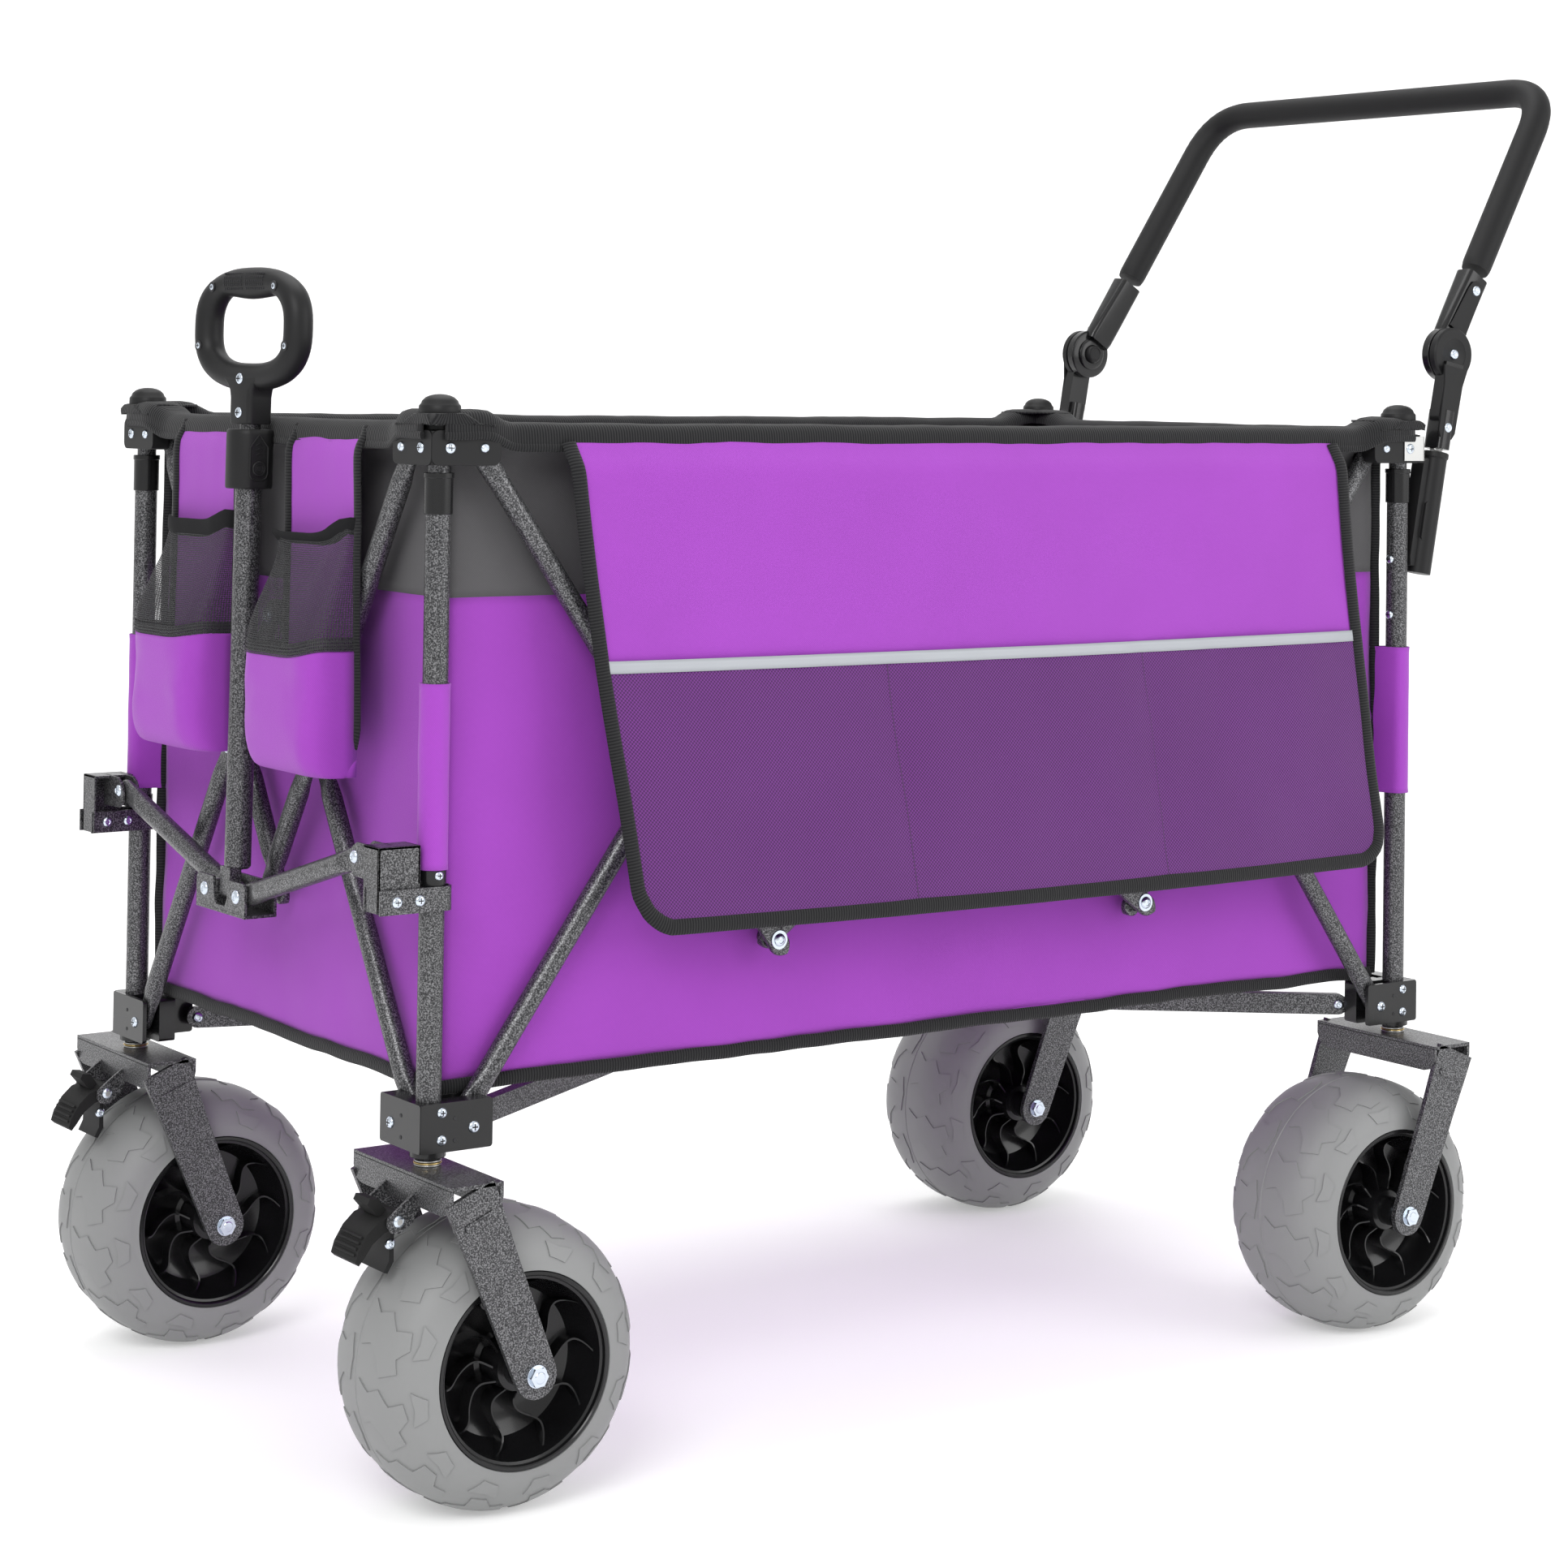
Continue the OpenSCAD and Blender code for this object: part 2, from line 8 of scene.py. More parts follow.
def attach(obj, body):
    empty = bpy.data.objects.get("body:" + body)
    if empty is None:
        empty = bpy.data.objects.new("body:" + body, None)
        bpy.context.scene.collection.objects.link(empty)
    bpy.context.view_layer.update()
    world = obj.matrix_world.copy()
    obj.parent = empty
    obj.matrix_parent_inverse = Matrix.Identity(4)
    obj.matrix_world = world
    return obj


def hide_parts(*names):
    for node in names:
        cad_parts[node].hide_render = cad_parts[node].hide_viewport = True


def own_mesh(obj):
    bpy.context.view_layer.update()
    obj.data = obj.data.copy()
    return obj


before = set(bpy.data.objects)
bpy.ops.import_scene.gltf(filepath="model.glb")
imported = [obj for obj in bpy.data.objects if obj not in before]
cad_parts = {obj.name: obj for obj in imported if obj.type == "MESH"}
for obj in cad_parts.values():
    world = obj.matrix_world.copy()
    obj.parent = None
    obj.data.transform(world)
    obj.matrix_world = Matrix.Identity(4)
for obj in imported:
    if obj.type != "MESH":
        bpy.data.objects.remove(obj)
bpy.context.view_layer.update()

# ---------------------------------------------------------------- constants, mm
OX, OZ = 81.9, 16.0
LX, LY, PIV, LAY = 496.0, 255.0, 30.0, 5.5
ZLO, ZHI = 266.0, 762.0
TX, TY = 480.0, 239.0
FLOOR, RIM = 292.0, 776.0
WR, WHW, AXZ, TRAIL = 109.0, 58.0, 93.0, 52.0
CORNERS = {"nf": (-1, -1), "ff": (-1, 1), "nr": (1, -1), "fr": (1, 1)}
sin, cos, pi = math.sin, math.cos, math.pi


def arr(p):
    return np.array(p, float)


def unit(v):
    v = arr(v)
    return v / np.linalg.norm(v)


def smooth(a, b, x):
    t = np.clip((x - a) / (b - a), 0, 1)
    return t * t * (3 - 2 * t)


def row(p):
    return ((p[0] - OX) / 1000, p[1] / 1000, (p[2] + OZ) / 1000)


# ---------------------------------------------------------------- materials
def new_mat(name, color, rough=.5, metal=0., coat=0., sheen=0., spec=.5):
    m = bpy.data.materials.new(name)
    m.use_nodes = True
    m.diffuse_color = (*color, 1)
    b = m.node_tree.nodes["Principled BSDF"]
    b.inputs["Base Color"].default_value = (*color, 1)
    b.inputs["Roughness"].default_value = rough
    b.inputs["Metallic"].default_value = metal
    b.inputs["Specular IOR Level"].default_value = spec
    b.inputs["Coat Weight"].default_value = coat
    b.inputs["Coat Roughness"].default_value = .12
    b.inputs["Sheen Weight"].default_value = sheen
    return m, m.node_tree, b


def node(nt, kind, **inputs):
    n = nt.nodes.new(kind)
    for k, v in inputs.items():
        key = k.replace("_", " ")
        if key in n.inputs:
            n.inputs[key].default_value = v
        else:
            setattr(n, k, v)
    return n


def coords(nt, uv=False):
    n = nt.nodes.new("ShaderNodeTexCoord")
    return n.outputs["UV" if uv else "Object"]


def ramp(nt, fac, stops):
    r = nt.nodes.new("ShaderNodeValToRGB")
    el = r.color_ramp.elements
    while len(el) < len(stops):
        el.new(.5)
    for e, (p, c) in zip(el, stops):
        e.position = p
        e.color = (*c, 1)
    nt.links.new(fac, r.inputs["Fac"])
    return r.outputs["Color"]


def bump(nt, b, height, strength, dist):
    n = node(nt, "ShaderNodeBump", Strength=strength, Distance=dist)
    nt.links.new(height, n.inputs["Height"])
    nt.links.new(n.outputs["Normal"], b.inputs["Normal"])


def noisy(nt, src, scale, detail=2., rough=.5):
    n = node(nt, "ShaderNodeTexNoise", Scale=scale, Detail=detail, Roughness=rough)
    nt.links.new(src, n.inputs["Vector"])
    return n.outputs["Fac"]


def math_node(nt, op, a, b=None):
    n = nt.nodes.new("ShaderNodeMath")
    n.operation = op
    for i, v in enumerate((a,) if b is None else (a, b)):
        if isinstance(v, (int, float)):
            n.inputs[i].default_value = v
        else:
            nt.links.new(v, n.inputs[i])
    return n.outputs[0]


def weave(nt, period, uv=True):
    """product of two sines across the cloth, 0..1"""
    s = nt.nodes.new("ShaderNodeSeparateXYZ")
    nt.links.new(coords(nt, uv), s.inputs[0])
    k = 2 * pi / period
    u = math_node(nt, "SINE", math_node(nt, "MULTIPLY", s.outputs[0], k))
    v = math_node(nt, "SINE", math_node(nt, "MULTIPLY", s.outputs[1], k))
    return math_node(nt, "ADD", math_node(nt, "MULTIPLY", math_node(nt, "MULTIPLY", u, v), .5), .5)


def hammertone():
    m, nt, b = new_mat("hammertone", (.07, .07, .073), .4, .55, coat=.2, spec=.3)
    f = noisy(nt, coords(nt), 900, 1.5, .45)
    nt.links.new(ramp(nt, f, [(.36, (.022, .022, .024)), (.5, (.066, .066, .069)), (.64, (.19, .19, .197))]),
                 b.inputs["Base Color"])
    bump(nt, b, f, .22, .0004)
    return m


def grained(name, color, rough, scale=900, strength=.15, dist=.0003, coat=0., spec=.5, sheen=0.):
    m, nt, b = new_mat(name, color, rough, 0, coat, sheen, spec)
    bump(nt, b, noisy(nt, coords(nt), scale), strength, dist)
    return m


def fabric(name, color, dark, period, strength, rough=.78, sheen=.15, low=.35):
    m, nt, b = new_mat(name, color, rough, 0, 0, sheen, .25)
    w = weave(nt, period)
    c1 = ramp(nt, w, [(low, dark), (.75, color)])
    mix = nt.nodes.new("ShaderNodeMix")
    mix.data_type = "RGBA"
    mix.blend_type = "MULTIPLY"
    mix.inputs[0].default_value = 1
    nt.links.new(c1, mix.inputs[6])
    nt.links.new(ramp(nt, noisy(nt, coords(nt), 9, 3), [(.3, (.93, .93, .93)), (.7, (1, 1, 1))]), mix.inputs[7])
    nt.links.new(mix.outputs[2], b.inputs["Base Color"])
    bump(nt, b, w, strength, .0004)
    return m


def binding():
    m, nt, b = new_mat("binding_tape", (.012, .012, .013), .8, 0, 0, .1, .15)
    s = nt.nodes.new("ShaderNodeSeparateXYZ")
    nt.links.new(coords(nt, True), s.inputs[0])
    w = math_node(nt, "SINE", math_node(nt, "MULTIPLY", s.outputs[0], 2 * pi / .0024))
    nt.links.new(ramp(nt, math_node(nt, "ADD", math_node(nt, "MULTIPLY", w, .5), .5),
                      [(.2, (.007, .007, .008)), (.8, (.021, .021, .022))]), b.inputs["Base Color"])
    bump(nt, b, w, .5, .0004)
    return m


def net():
    """black net that shows what is behind it"""
    m, nt, b = new_mat("black_net", (.02, .02, .022), .7, 0)
    w = weave(nt, .0034)
    b.inputs["Alpha"].default_value = .62
    a = math_node(nt, "GREATER_THAN", math_node(nt, "ABSOLUTE", math_node(nt, "SUBTRACT", w, .5)), .2)
    nt.links.new(math_node(nt, "SUBTRACT", 1., math_node(nt, "MULTIPLY", a, .72)), b.inputs["Alpha"])
    return m


PURPLE = (.338, .056, .475)
M = {
    "hammer": hammertone(),
    "black": grained("black_moulded", (.0105, .0105, .011), .46, 1400, .12, .0002, spec=.22),
    "gloss": new_mat("black_gloss", (.006, .006, .0065), .26, 0, coat=.3, spec=.25)[0],
    "rubber": grained("black_rubber", (.012, .012, .012), .7, 900, .2, spec=.2),
    "foam": grained("black_foam", (.009, .009, .0095), .55, 2600, .25, .0003, spec=.22),
    "tyre": grained("grey_tyre", (.225, .228, .228), .5, 300, .06, .0004, spec=.35),
    "zinc": new_mat("zinc", (.60, .66, .74), .24, 1)[0],
    # recess: near-black that paints the shade inside screw crosses, small holes and screw pockets; the grip's raised
    # dots are drawn in it too
    "dark": new_mat("recess", (.01, .01, .012), .6)[0],
    "steel": new_mat("steel", (.55, .55, .54), .3, 1)[0],
    "brass": new_mat("brass", (.62, .46, .2), .3, 1)[0],
    "purple": fabric("purple_fabric_weave", PURPLE, (.27, .04, .385), .0013, .35),
    "purple2": fabric("purple_mesh", (.150, .031, .21), (.045, .008, .066), .0030, .5, low=.25),
    "grey": fabric("grey_fabric", (.102, .100, .104), (.07, .068, .072), .0013, .3),
    "inner": fabric("lining", (.30, .050, .42), (.25, .04, .35), .0013, .2),
    "tape": binding(),
    "strip": new_mat("reflective_strip", (.33, .345, .37), .42, .1)[0],
    "net": net(),
    "elastic": grained("elastic", (.012, .012, .013), .8, 500, .4, spec=.12),
    "thread": new_mat("thread", (.06, .02, .08), .8)[0],
}


# ---------------------------------------------------------------- geometry makers
def box(x0, x1, y0, y1, z0, z1):
    v = [(x, y, z) for x in (x0, x1) for y in (y0, y1) for z in (z0, z1)]
    f = [(0, 1, 3, 2), (4, 6, 7, 5), (0, 4, 5, 1), (2, 3, 7, 6), (0, 2, 6, 4), (1, 5, 7, 3)]
    return arr(v), f


def prism(outline, t0, t1, place):
    """outline of (a, b) points made solid from t0 to t1; place maps (a, b, t) to a point"""
    n = len(outline)
    v = [place(a, b, t) for t in (t0, t1) for a, b in outline]
    f = [tuple(range(n))[::-1], tuple(range(n, 2 * n))]
    f += [(i, (i + 1) % n, n + (i + 1) % n, n + i) for i in range(n)]
    return arr(v), f


def round_rect(w, h, r, n=5):
    pts = []
    for cx, cy, a0 in ((w / 2 - r, h / 2 - r, 0), (-w / 2 + r, h / 2 - r, 90), (-w / 2 + r, -h / 2 + r, 180),
                       (w / 2 - r, -h / 2 + r, 270)):
        for i in range(n + 1):
            a = math.radians(a0 + 90 * i / n)
            pts.append((cx + r * cos(a), cy + r * sin(a)))
    return pts


def basis(d, up=(0, 0, 1)):
    d = unit(d)
    up = arr(up)
    if abs(d @ unit(up)) > .97:
        up = arr((1, 0, 0)) if abs(d[0]) < .9 else arr((0, 1, 0))
    a = unit(np.cross(up, d))
    return a, np.cross(d, a), d


def lathe(profile, o, axis, seg=32, ring=False):
    """profile of (radius, height) points turned about an axis; ring closes the profile on itself"""
    a, b, d = basis(axis)
    o = arr(o)
    v, f, rows = [], [], []
    for r, h in profile:
        if r < 1e-6:
            rows.append([len(v)])
            v.append(o + d * h)
        else:
            rows.append(list(range(len(v), len(v) + seg)))
            for i in range(seg):
                t = 2 * pi * i / seg
                v.append(o + d * h + a * r * cos(t) + b * r * sin(t))
    n = len(rows)
    for k in range(n if ring else n - 1):
        p, q = rows[k], rows[(k + 1) % n]
        for i in range(seg):
            j = (i + 1) % seg
            if len(p) == 1 and len(q) == 1:
                break
            if len(p) == 1:
                f.append((p[0], q[i], q[j]))
            elif len(q) == 1:
                f.append((p[i], q[0], p[j]))
            else:
                f.append((p[i], q[i], q[j], p[j]))
    return arr(v), f


def cyl(p0, p1, r, seg=28, ch=.5):
    p0, p1 = arr(p0), arr(p1)
    h = np.linalg.norm(p1 - p0)
    return lathe([(0, 0), (r - ch, 0), (r, ch), (r, h - ch), (r - ch, h), (0, h)], p0, p1 - p0, seg)


def pipe(p0, p1, r, ri, seg=28):
    p0, p1 = arr(p0), arr(p1)
    h = np.linalg.norm(p1 - p0)
    return lathe([(ri, 0), (r - .4, 0), (r, .4), (r, h - .4), (r - .4, h), (ri, h)], p0, p1 - p0, seg, ring=True)


def circle(r, n=20, rb=None):
    rb = r if rb is None else rb
    return [(r * cos(2 * pi * i / n), rb * sin(2 * pi * i / n)) for i in range(n)]


def loft(rows, closed=False):
    """skin over rings of points, capped at both ends unless it closes on itself"""
    n, k = len(rows[0]), len(rows)
    f = [(i * n + j, i * n + (j + 1) % n, (i + 1) % k * n + (j + 1) % n, (i + 1) % k * n + j)
         for i in range(k if closed else k - 1) for j in range(n)]
    if not closed:
        f += [tuple(range(n))[::-1], tuple(range((k - 1) * n, k * n))]
    return arr([q for r in rows for q in r]), f


def sweep(path, section, up=(0, 0, 1), closed=False, uv=False):
    """section, or section(i) for each path point, carried along the path"""
    path = arr(path)
    nxt = np.roll(path, -1, 0) if closed else np.vstack([path[1:], path[-1:] * 2 - path[-2:-1]])
    prv = np.roll(path, 1, 0) if closed else np.vstack([path[:1] * 2 - path[1:2], path[:-1]])
    tan = nxt - prv
    tan /= np.linalg.norm(tan, axis=1)[:, None]
    a = basis(tan[0], up)[0]
    rows, uvs, s = [], [], 0
    for i, c in enumerate(path):
        a = unit(a - tan[i] * (a @ tan[i]))
        b = np.cross(tan[i], a)
        sec = section(i) if callable(section) else section
        if i:
            s += np.linalg.norm(c - path[i - 1])
        rows.append([c + a * p + b * q for p, q in sec])
        uvs += [(s / 1000, k * .002) for k in range(len(sec))]
    v, f = loft(rows, closed)
    return (v, f, uvs) if uv else (v, f)


def edge_on(place):
    """prism placement for an outline in x and z, made thick along y"""
    return lambda a, b, t: place(a, t, b)


def grid(fn, nu, nv):
    """open sheet from fn(u, v) with u, v in 0..1; uv is in metres along the mean edges"""
    P = np.array([[fn(i / nu, j / nv) for j in range(nv + 1)] for i in range(nu + 1)], float)
    lu = np.r_[0, np.cumsum(np.linalg.norm(np.diff(P, axis=0), axis=2).mean(1))] / 1000
    lv = np.r_[0, np.cumsum(np.linalg.norm(np.diff(P, axis=1), axis=2).mean(0))] / 1000
    v = P.reshape(-1, 3)
    uv = [(lu[i], lv[j]) for i in range(nu + 1) for j in range(nv + 1)]
    m = nv + 1
    f = [(i * m + j, (i + 1) * m + j, (i + 1) * m + j + 1, i * m + j + 1) for i in range(nu) for j in range(nv)]
    return v, f, uv


def fillet(points, radius, n=7):
    """polyline with its corners rounded"""
    pts = [arr(p) for p in points]
    out = [pts[0]]
    for k in range(1, len(pts) - 1):
        p, c, q = pts[k - 1], pts[k], pts[k + 1]
        r = radius[k - 1] if hasattr(radius, "__len__") else radius
        a, b = unit(p - c), unit(q - c)
        ang = math.acos(max(-1, min(1, a @ b)))
        d = min(r / math.tan(ang / 2), np.linalg.norm(p - c) * .49, np.linalg.norm(q - c) * .49)
        s, e = c + a * d, c + b * d
        for i in range(n + 1):
            t = i / n
            out.append((1 - t) ** 2 * s + 2 * t * (1 - t) * c + t * t * e)
    out.append(pts[-1])
    return out


def resample(path, step):
    path = arr(path)
    d = np.r_[0, np.cumsum(np.linalg.norm(np.diff(path, axis=0), axis=1))]
    n = max(2, int(round(d[-1] / step)) + 1)
    t = np.linspace(0, d[-1], n)
    return np.stack([np.interp(t, d, path[:, k]) for k in range(3)], 1)


class Part:
    """collects pieces of geometry for one object"""

    def __init__(self, name, body, slot, nodes=(), bevel=.5):
        self.name, self.body, self.slot, self.nodes, self.bevel = name, body, slot, nodes, bevel
        self.v, self.f, self.m, self.uv, self.mats, self.n = [], [], [], [], [], 0

    def add(self, geo, mat):
        v, f = geo[0], geo[1]
        uv = geo[2] if len(geo) > 2 else [(p[0] / 1000 + p[1] / 1300, p[2] / 1000) for p in v]
        if mat not in self.mats:
            self.mats.append(mat)
        k = self.mats.index(mat)
        self.v.append(v)
        self.uv += list(uv)
        self.f += [tuple(i + self.n for i in q) for q in f]
        self.m += [k] * len(f)
        self.n += len(v)

    def done(self, recalc=True, angle=38, thick=0):
        v = (np.vstack(self.v) + (-OX, 0, OZ)) / 1000
        me = bpy.data.meshes.new(self.name)
        me.from_pydata(v.tolist(), [], self.f)
        for k in self.mats:
            me.materials.append(M[k])
        me.polygons.foreach_set("material_index", self.m)
        lay = me.uv_layers.new(name="UVMap")
        idx = np.zeros(len(me.loops), int)
        me.loops.foreach_get("vertex_index", idx)
        lay.data.foreach_set("uv", arr(self.uv)[idx].ravel())
        o = bpy.data.objects.new(self.name, me)
        bpy.context.scene.collection.objects.link(o)
        if recalc:
            bm = bmesh.new()
            bm.from_mesh(me)
            bmesh.ops.recalc_face_normals(bm, faces=bm.faces)
            bm.to_mesh(me)
            bm.free()
        me.polygons.foreach_set("use_smooth", [True] * len(me.polygons))
        me.set_sharp_from_angle(angle=math.radians(angle))
        if self.bevel:
            b = o.modifiers.new("edge", "BEVEL")
            b.width, b.segments, b.limit_method = self.bevel / 1000, 2, "ANGLE"
            b.angle_limit, b.harden_normals = math.radians(42), True
        if thick:
            s = o.modifiers.new("cloth", "SOLIDIFY")
            s.thickness, s.offset = thick / 1000, 0
        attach(o, self.body)
        if self.nodes:
            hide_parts(*self.nodes)
        return o


def squashed(o, axis):
    """gives the cloth its own copy of its mesh, the same along the wagon or across it"""
    if axis == "x":
        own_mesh(o)
    else:
        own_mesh(o)


def cloth_part(name, body, layers, axis=None, thick=0, nodes=(), recalc=False, angle=38):
    """cloth from layers of (geometry, material)"""
    p = Part(name, body, "purple_fabric", nodes, bevel=0)
    for geo, mat in layers:
        p.add(geo, mat)
    o = p.done(recalc, angle, thick)
    if axis:
        squashed(o, axis)
    return o


def pan_screw(part, p, d, r=4.2, h=2.2):
    """domed zinc head with a cross recess, painted on as near-black shade"""
    p, d = arr(p), unit(d)
    dome = [(0, -1), (r, -1), (r, .2), (r * .93, h * .45), (r * .7, h * .8), (r * .35, h), (0, h)]
    part.add(lathe(dome, p, d, 24), "zinc")
    a, b, _ = basis(d)
    # two near-black boxes let into the dome: painted shade of the cross recess, not a cut
    for u, w in ((a, b), (b, a)):
        o = p + d * (h - .35)
        v = [o + u * s * r * .52 + w * t * r * .13 + d * k
             for s in (-1, 1) for t in (-1, 1) for k in (-.4, .42)]
        part.add((arr(v), box(0, 1, 0, 1, 0, 1)[1]), "dark")


def rivet(part, p, d, r=5., h=2.2, mat="zinc"):
    p, d = arr(p), unit(d)
    part.add(lathe([(0, -1), (r, -1), (r, .2), (r * .9, h * .55), (r * .62, h * .92), (r * .5, h), (r * .42, h * .72),
                    (r * .2, h * .7), (0, h * .95)], p, d, 24), mat)


def hexbolt(part, p, d, r=7.5, h=5.):
    p, d = arr(p), unit(d)
    a, b, _ = basis(d)
    part.add(lathe([(0, 0), (r * 1.12, 0), (r * 1.12, 1.2), (0, 1.2)], p, d, 28), "zinc")
    pts = [(r * cos(pi * i / 3), r * sin(pi * i / 3)) for i in range(6)]
    part.add(prism(pts, 1, h, lambda x, y, t: p + a * x + b * y + d * t), "zinc")
    part.add(lathe([(0, h - .2), (r * .62, h - .2), (r * .5, h + .7), (0, h + .9)], p, d, 20), "zinc")


# ---------------------------------------------------------------- scissor bars
FLAT, END_R, BAR_SIDES = 4.2, 8.8, 20      # half thickness at a rivet, rounding of the ends


def bar(body, p0, d, n_out, length, joints, outer, kind="bar", tail=14., half=8.0, skip=1):
    """tube with flattened ends and dents at its rivets; joints are distances along it and the
    first ones, as many as skip says, show no head"""
    part = Part(f"{body}_{kind}", body, "hammertone", (body,), bevel=0)
    d, n = unit(d), unit(n_out)
    p0 = arr(p0)
    side = np.cross(n, d)
    s0, s1 = -END_R, length + tail
    ease = [END_R * (1 - cos(pi / 2 * i / 6)) for i in range(7)]
    stations = sorted(set([s0 + e for e in ease] + [s1 - e for e in ease] + list(np.arange(s0 + 9, s1 - 9, 4.))))
    rows = []
    for s in stations:
        k = float(smooth(15, 34, min(abs(s - j) for j in joints)))
        t = FLAT + (half - FLAT) * k
        h = 8.9 + (half + .1 - 8.9) * k
        for e in (s - s0, s1 - s):
            if e < END_R:
                h *= math.sqrt(max(.0004, 1 - ((END_R - e) / END_R) ** 2))
        q = 1 + .9 * (1 - k)
        ring = []
        for i in range(BAR_SIDES):
            a = 2 * pi * i / BAR_SIDES
            x, y = cos(a), sin(a)
            x, y = h * math.copysign(abs(x) ** (1 / q ** .3), x), t * math.copysign(abs(y) ** (1 / q), y)
            ring.append(p0 + d * s + side * x + n * y)
        rows.append(ring)
    part.add(loft(rows), "hammer")
    w = n if outer else -n
    for j in joints[skip:]:
        c = p0 + d * j
        washer = lathe([(0, 0), (7.4, 0), (7.4, 1), (0, 1)], c + w * (FLAT - .2), w, 24)
        part.add(washer, "zinc" if outer else "gloss")
        if outer:
            rivet(part, c + w * (FLAT + .7), w, 5.2, 2.4)
        else:
            rivet(part, c + w * (FLAT + .7), w, 5.6, 3.4, "gloss")
    part.done(angle=50)


end_drop, side_c, side_drop = 356., 190., 385.
end_run = LY - PIV
end_len = math.hypot(end_run, end_drop)
ea = math.atan2(end_drop, end_run)
end_x = end_len * (ZHI - ZLO) / (2 * end_drop)
side_run = LX - PIV - side_c
side_len = math.hypot(side_run, side_drop)
sa = math.atan2(side_drop, side_run)
side_x = side_len * (ZHI - ZLO) / (2 * side_drop)
mid_h = 2 * side_drop - (ZHI - ZLO)
mid_len = math.hypot(2 * side_c, mid_h)
ma = math.atan2(mid_h, 2 * side_c)

LEVELS = ((1, "upper", ZHI), (-1, "lower", ZLO))
for e, en in ((-1, "front"), (1, "rear")):
    for s, sn in ((1, "near"), (-1, "far")):
        for k, kn, z in LEVELS:
            bar(f"{en}_{kn}_{sn}", (e * (LX + k * s * LAY), -s * end_run, z), (0, s * cos(ea), -k * sin(ea)),
                (e, 0, 0), end_len, [0, end_x, end_len], k * s > 0)
for w, wn in ((-1, "near"), (1, "far")):
    out = (0, w, 0)
    for s, sn in ((1, "front"), (-1, "rear")):
        for k, kn, z in LEVELS:
            bar(f"{wn}_{kn}_{sn}", (-s * (LX - PIV), w * (LY + k * s * LAY), z), (s * cos(sa), 0, -k * sin(sa)),
                out, side_len, [0, side_x, side_len], k * s > 0)
    for k, kn, z in ((1, "fall", ZLO + side_drop), (-1, "rise", ZHI - side_drop)):
        bar(f"{wn}_mid_{kn}", (-side_c, w * (LY + k * LAY), z), (cos(ma), 0, -k * sin(ma)),
            out, mid_len, [0, mid_len / 2, mid_len], k > 0, skip=0)


# ---------------------------------------------------------------- corners
def corner(c):
    """maps local (u inwards along the length, v inwards along the width, z) to a point"""
    sx, sy = CORNERS[c]
    return lambda u, v, z: arr((sx * (LX - u), sy * (LY - v), z))


def cbox(c, u0, u1, v0, v1, z0, z1):
    g = corner(c)
    b, f = box(u0, u1, v0, v1, z0, z1)
    return arr([g(*p) for p in b]), f


def bracket(part, c, z0, z1, reach, mat, lower):
    """moulded corner: four plates with the bars between them, on a block round the leg"""
    g = corner(c)
    sx, sy = CORNERS[c]

    def arm(axis, lo, hi, a0, a1):
        w, shrink = a1 - a0, 1 if axis == "u" else .994        # so that crossing plates share no face
        out = [(a0 + w / 2 + x, (z0 + z1) / 2 + y * shrink) for x, y in round_rect(w, z1 - z0, 2.5 if lower else 6.)]
        part.add(prism(out, lo, hi, edge_on(g) if axis == "u" else lambda a, b, t: g(t, a, b)), mat)
    # whether the bar of each plane lies in its inner or its outer layer
    for axis, inner in (("u", (sx > 0) != lower), ("v", (sy > 0) != lower)):
        arm(axis, -15, 0 if inner else -11.5, -14.6, reach)
        arm(axis, 11.4 if inner else .4, 15, 8, reach - .5)
    part.add(cbox(c, -14, 12.5, -14, 12.5, z0 + .5, z1 - .5), mat)


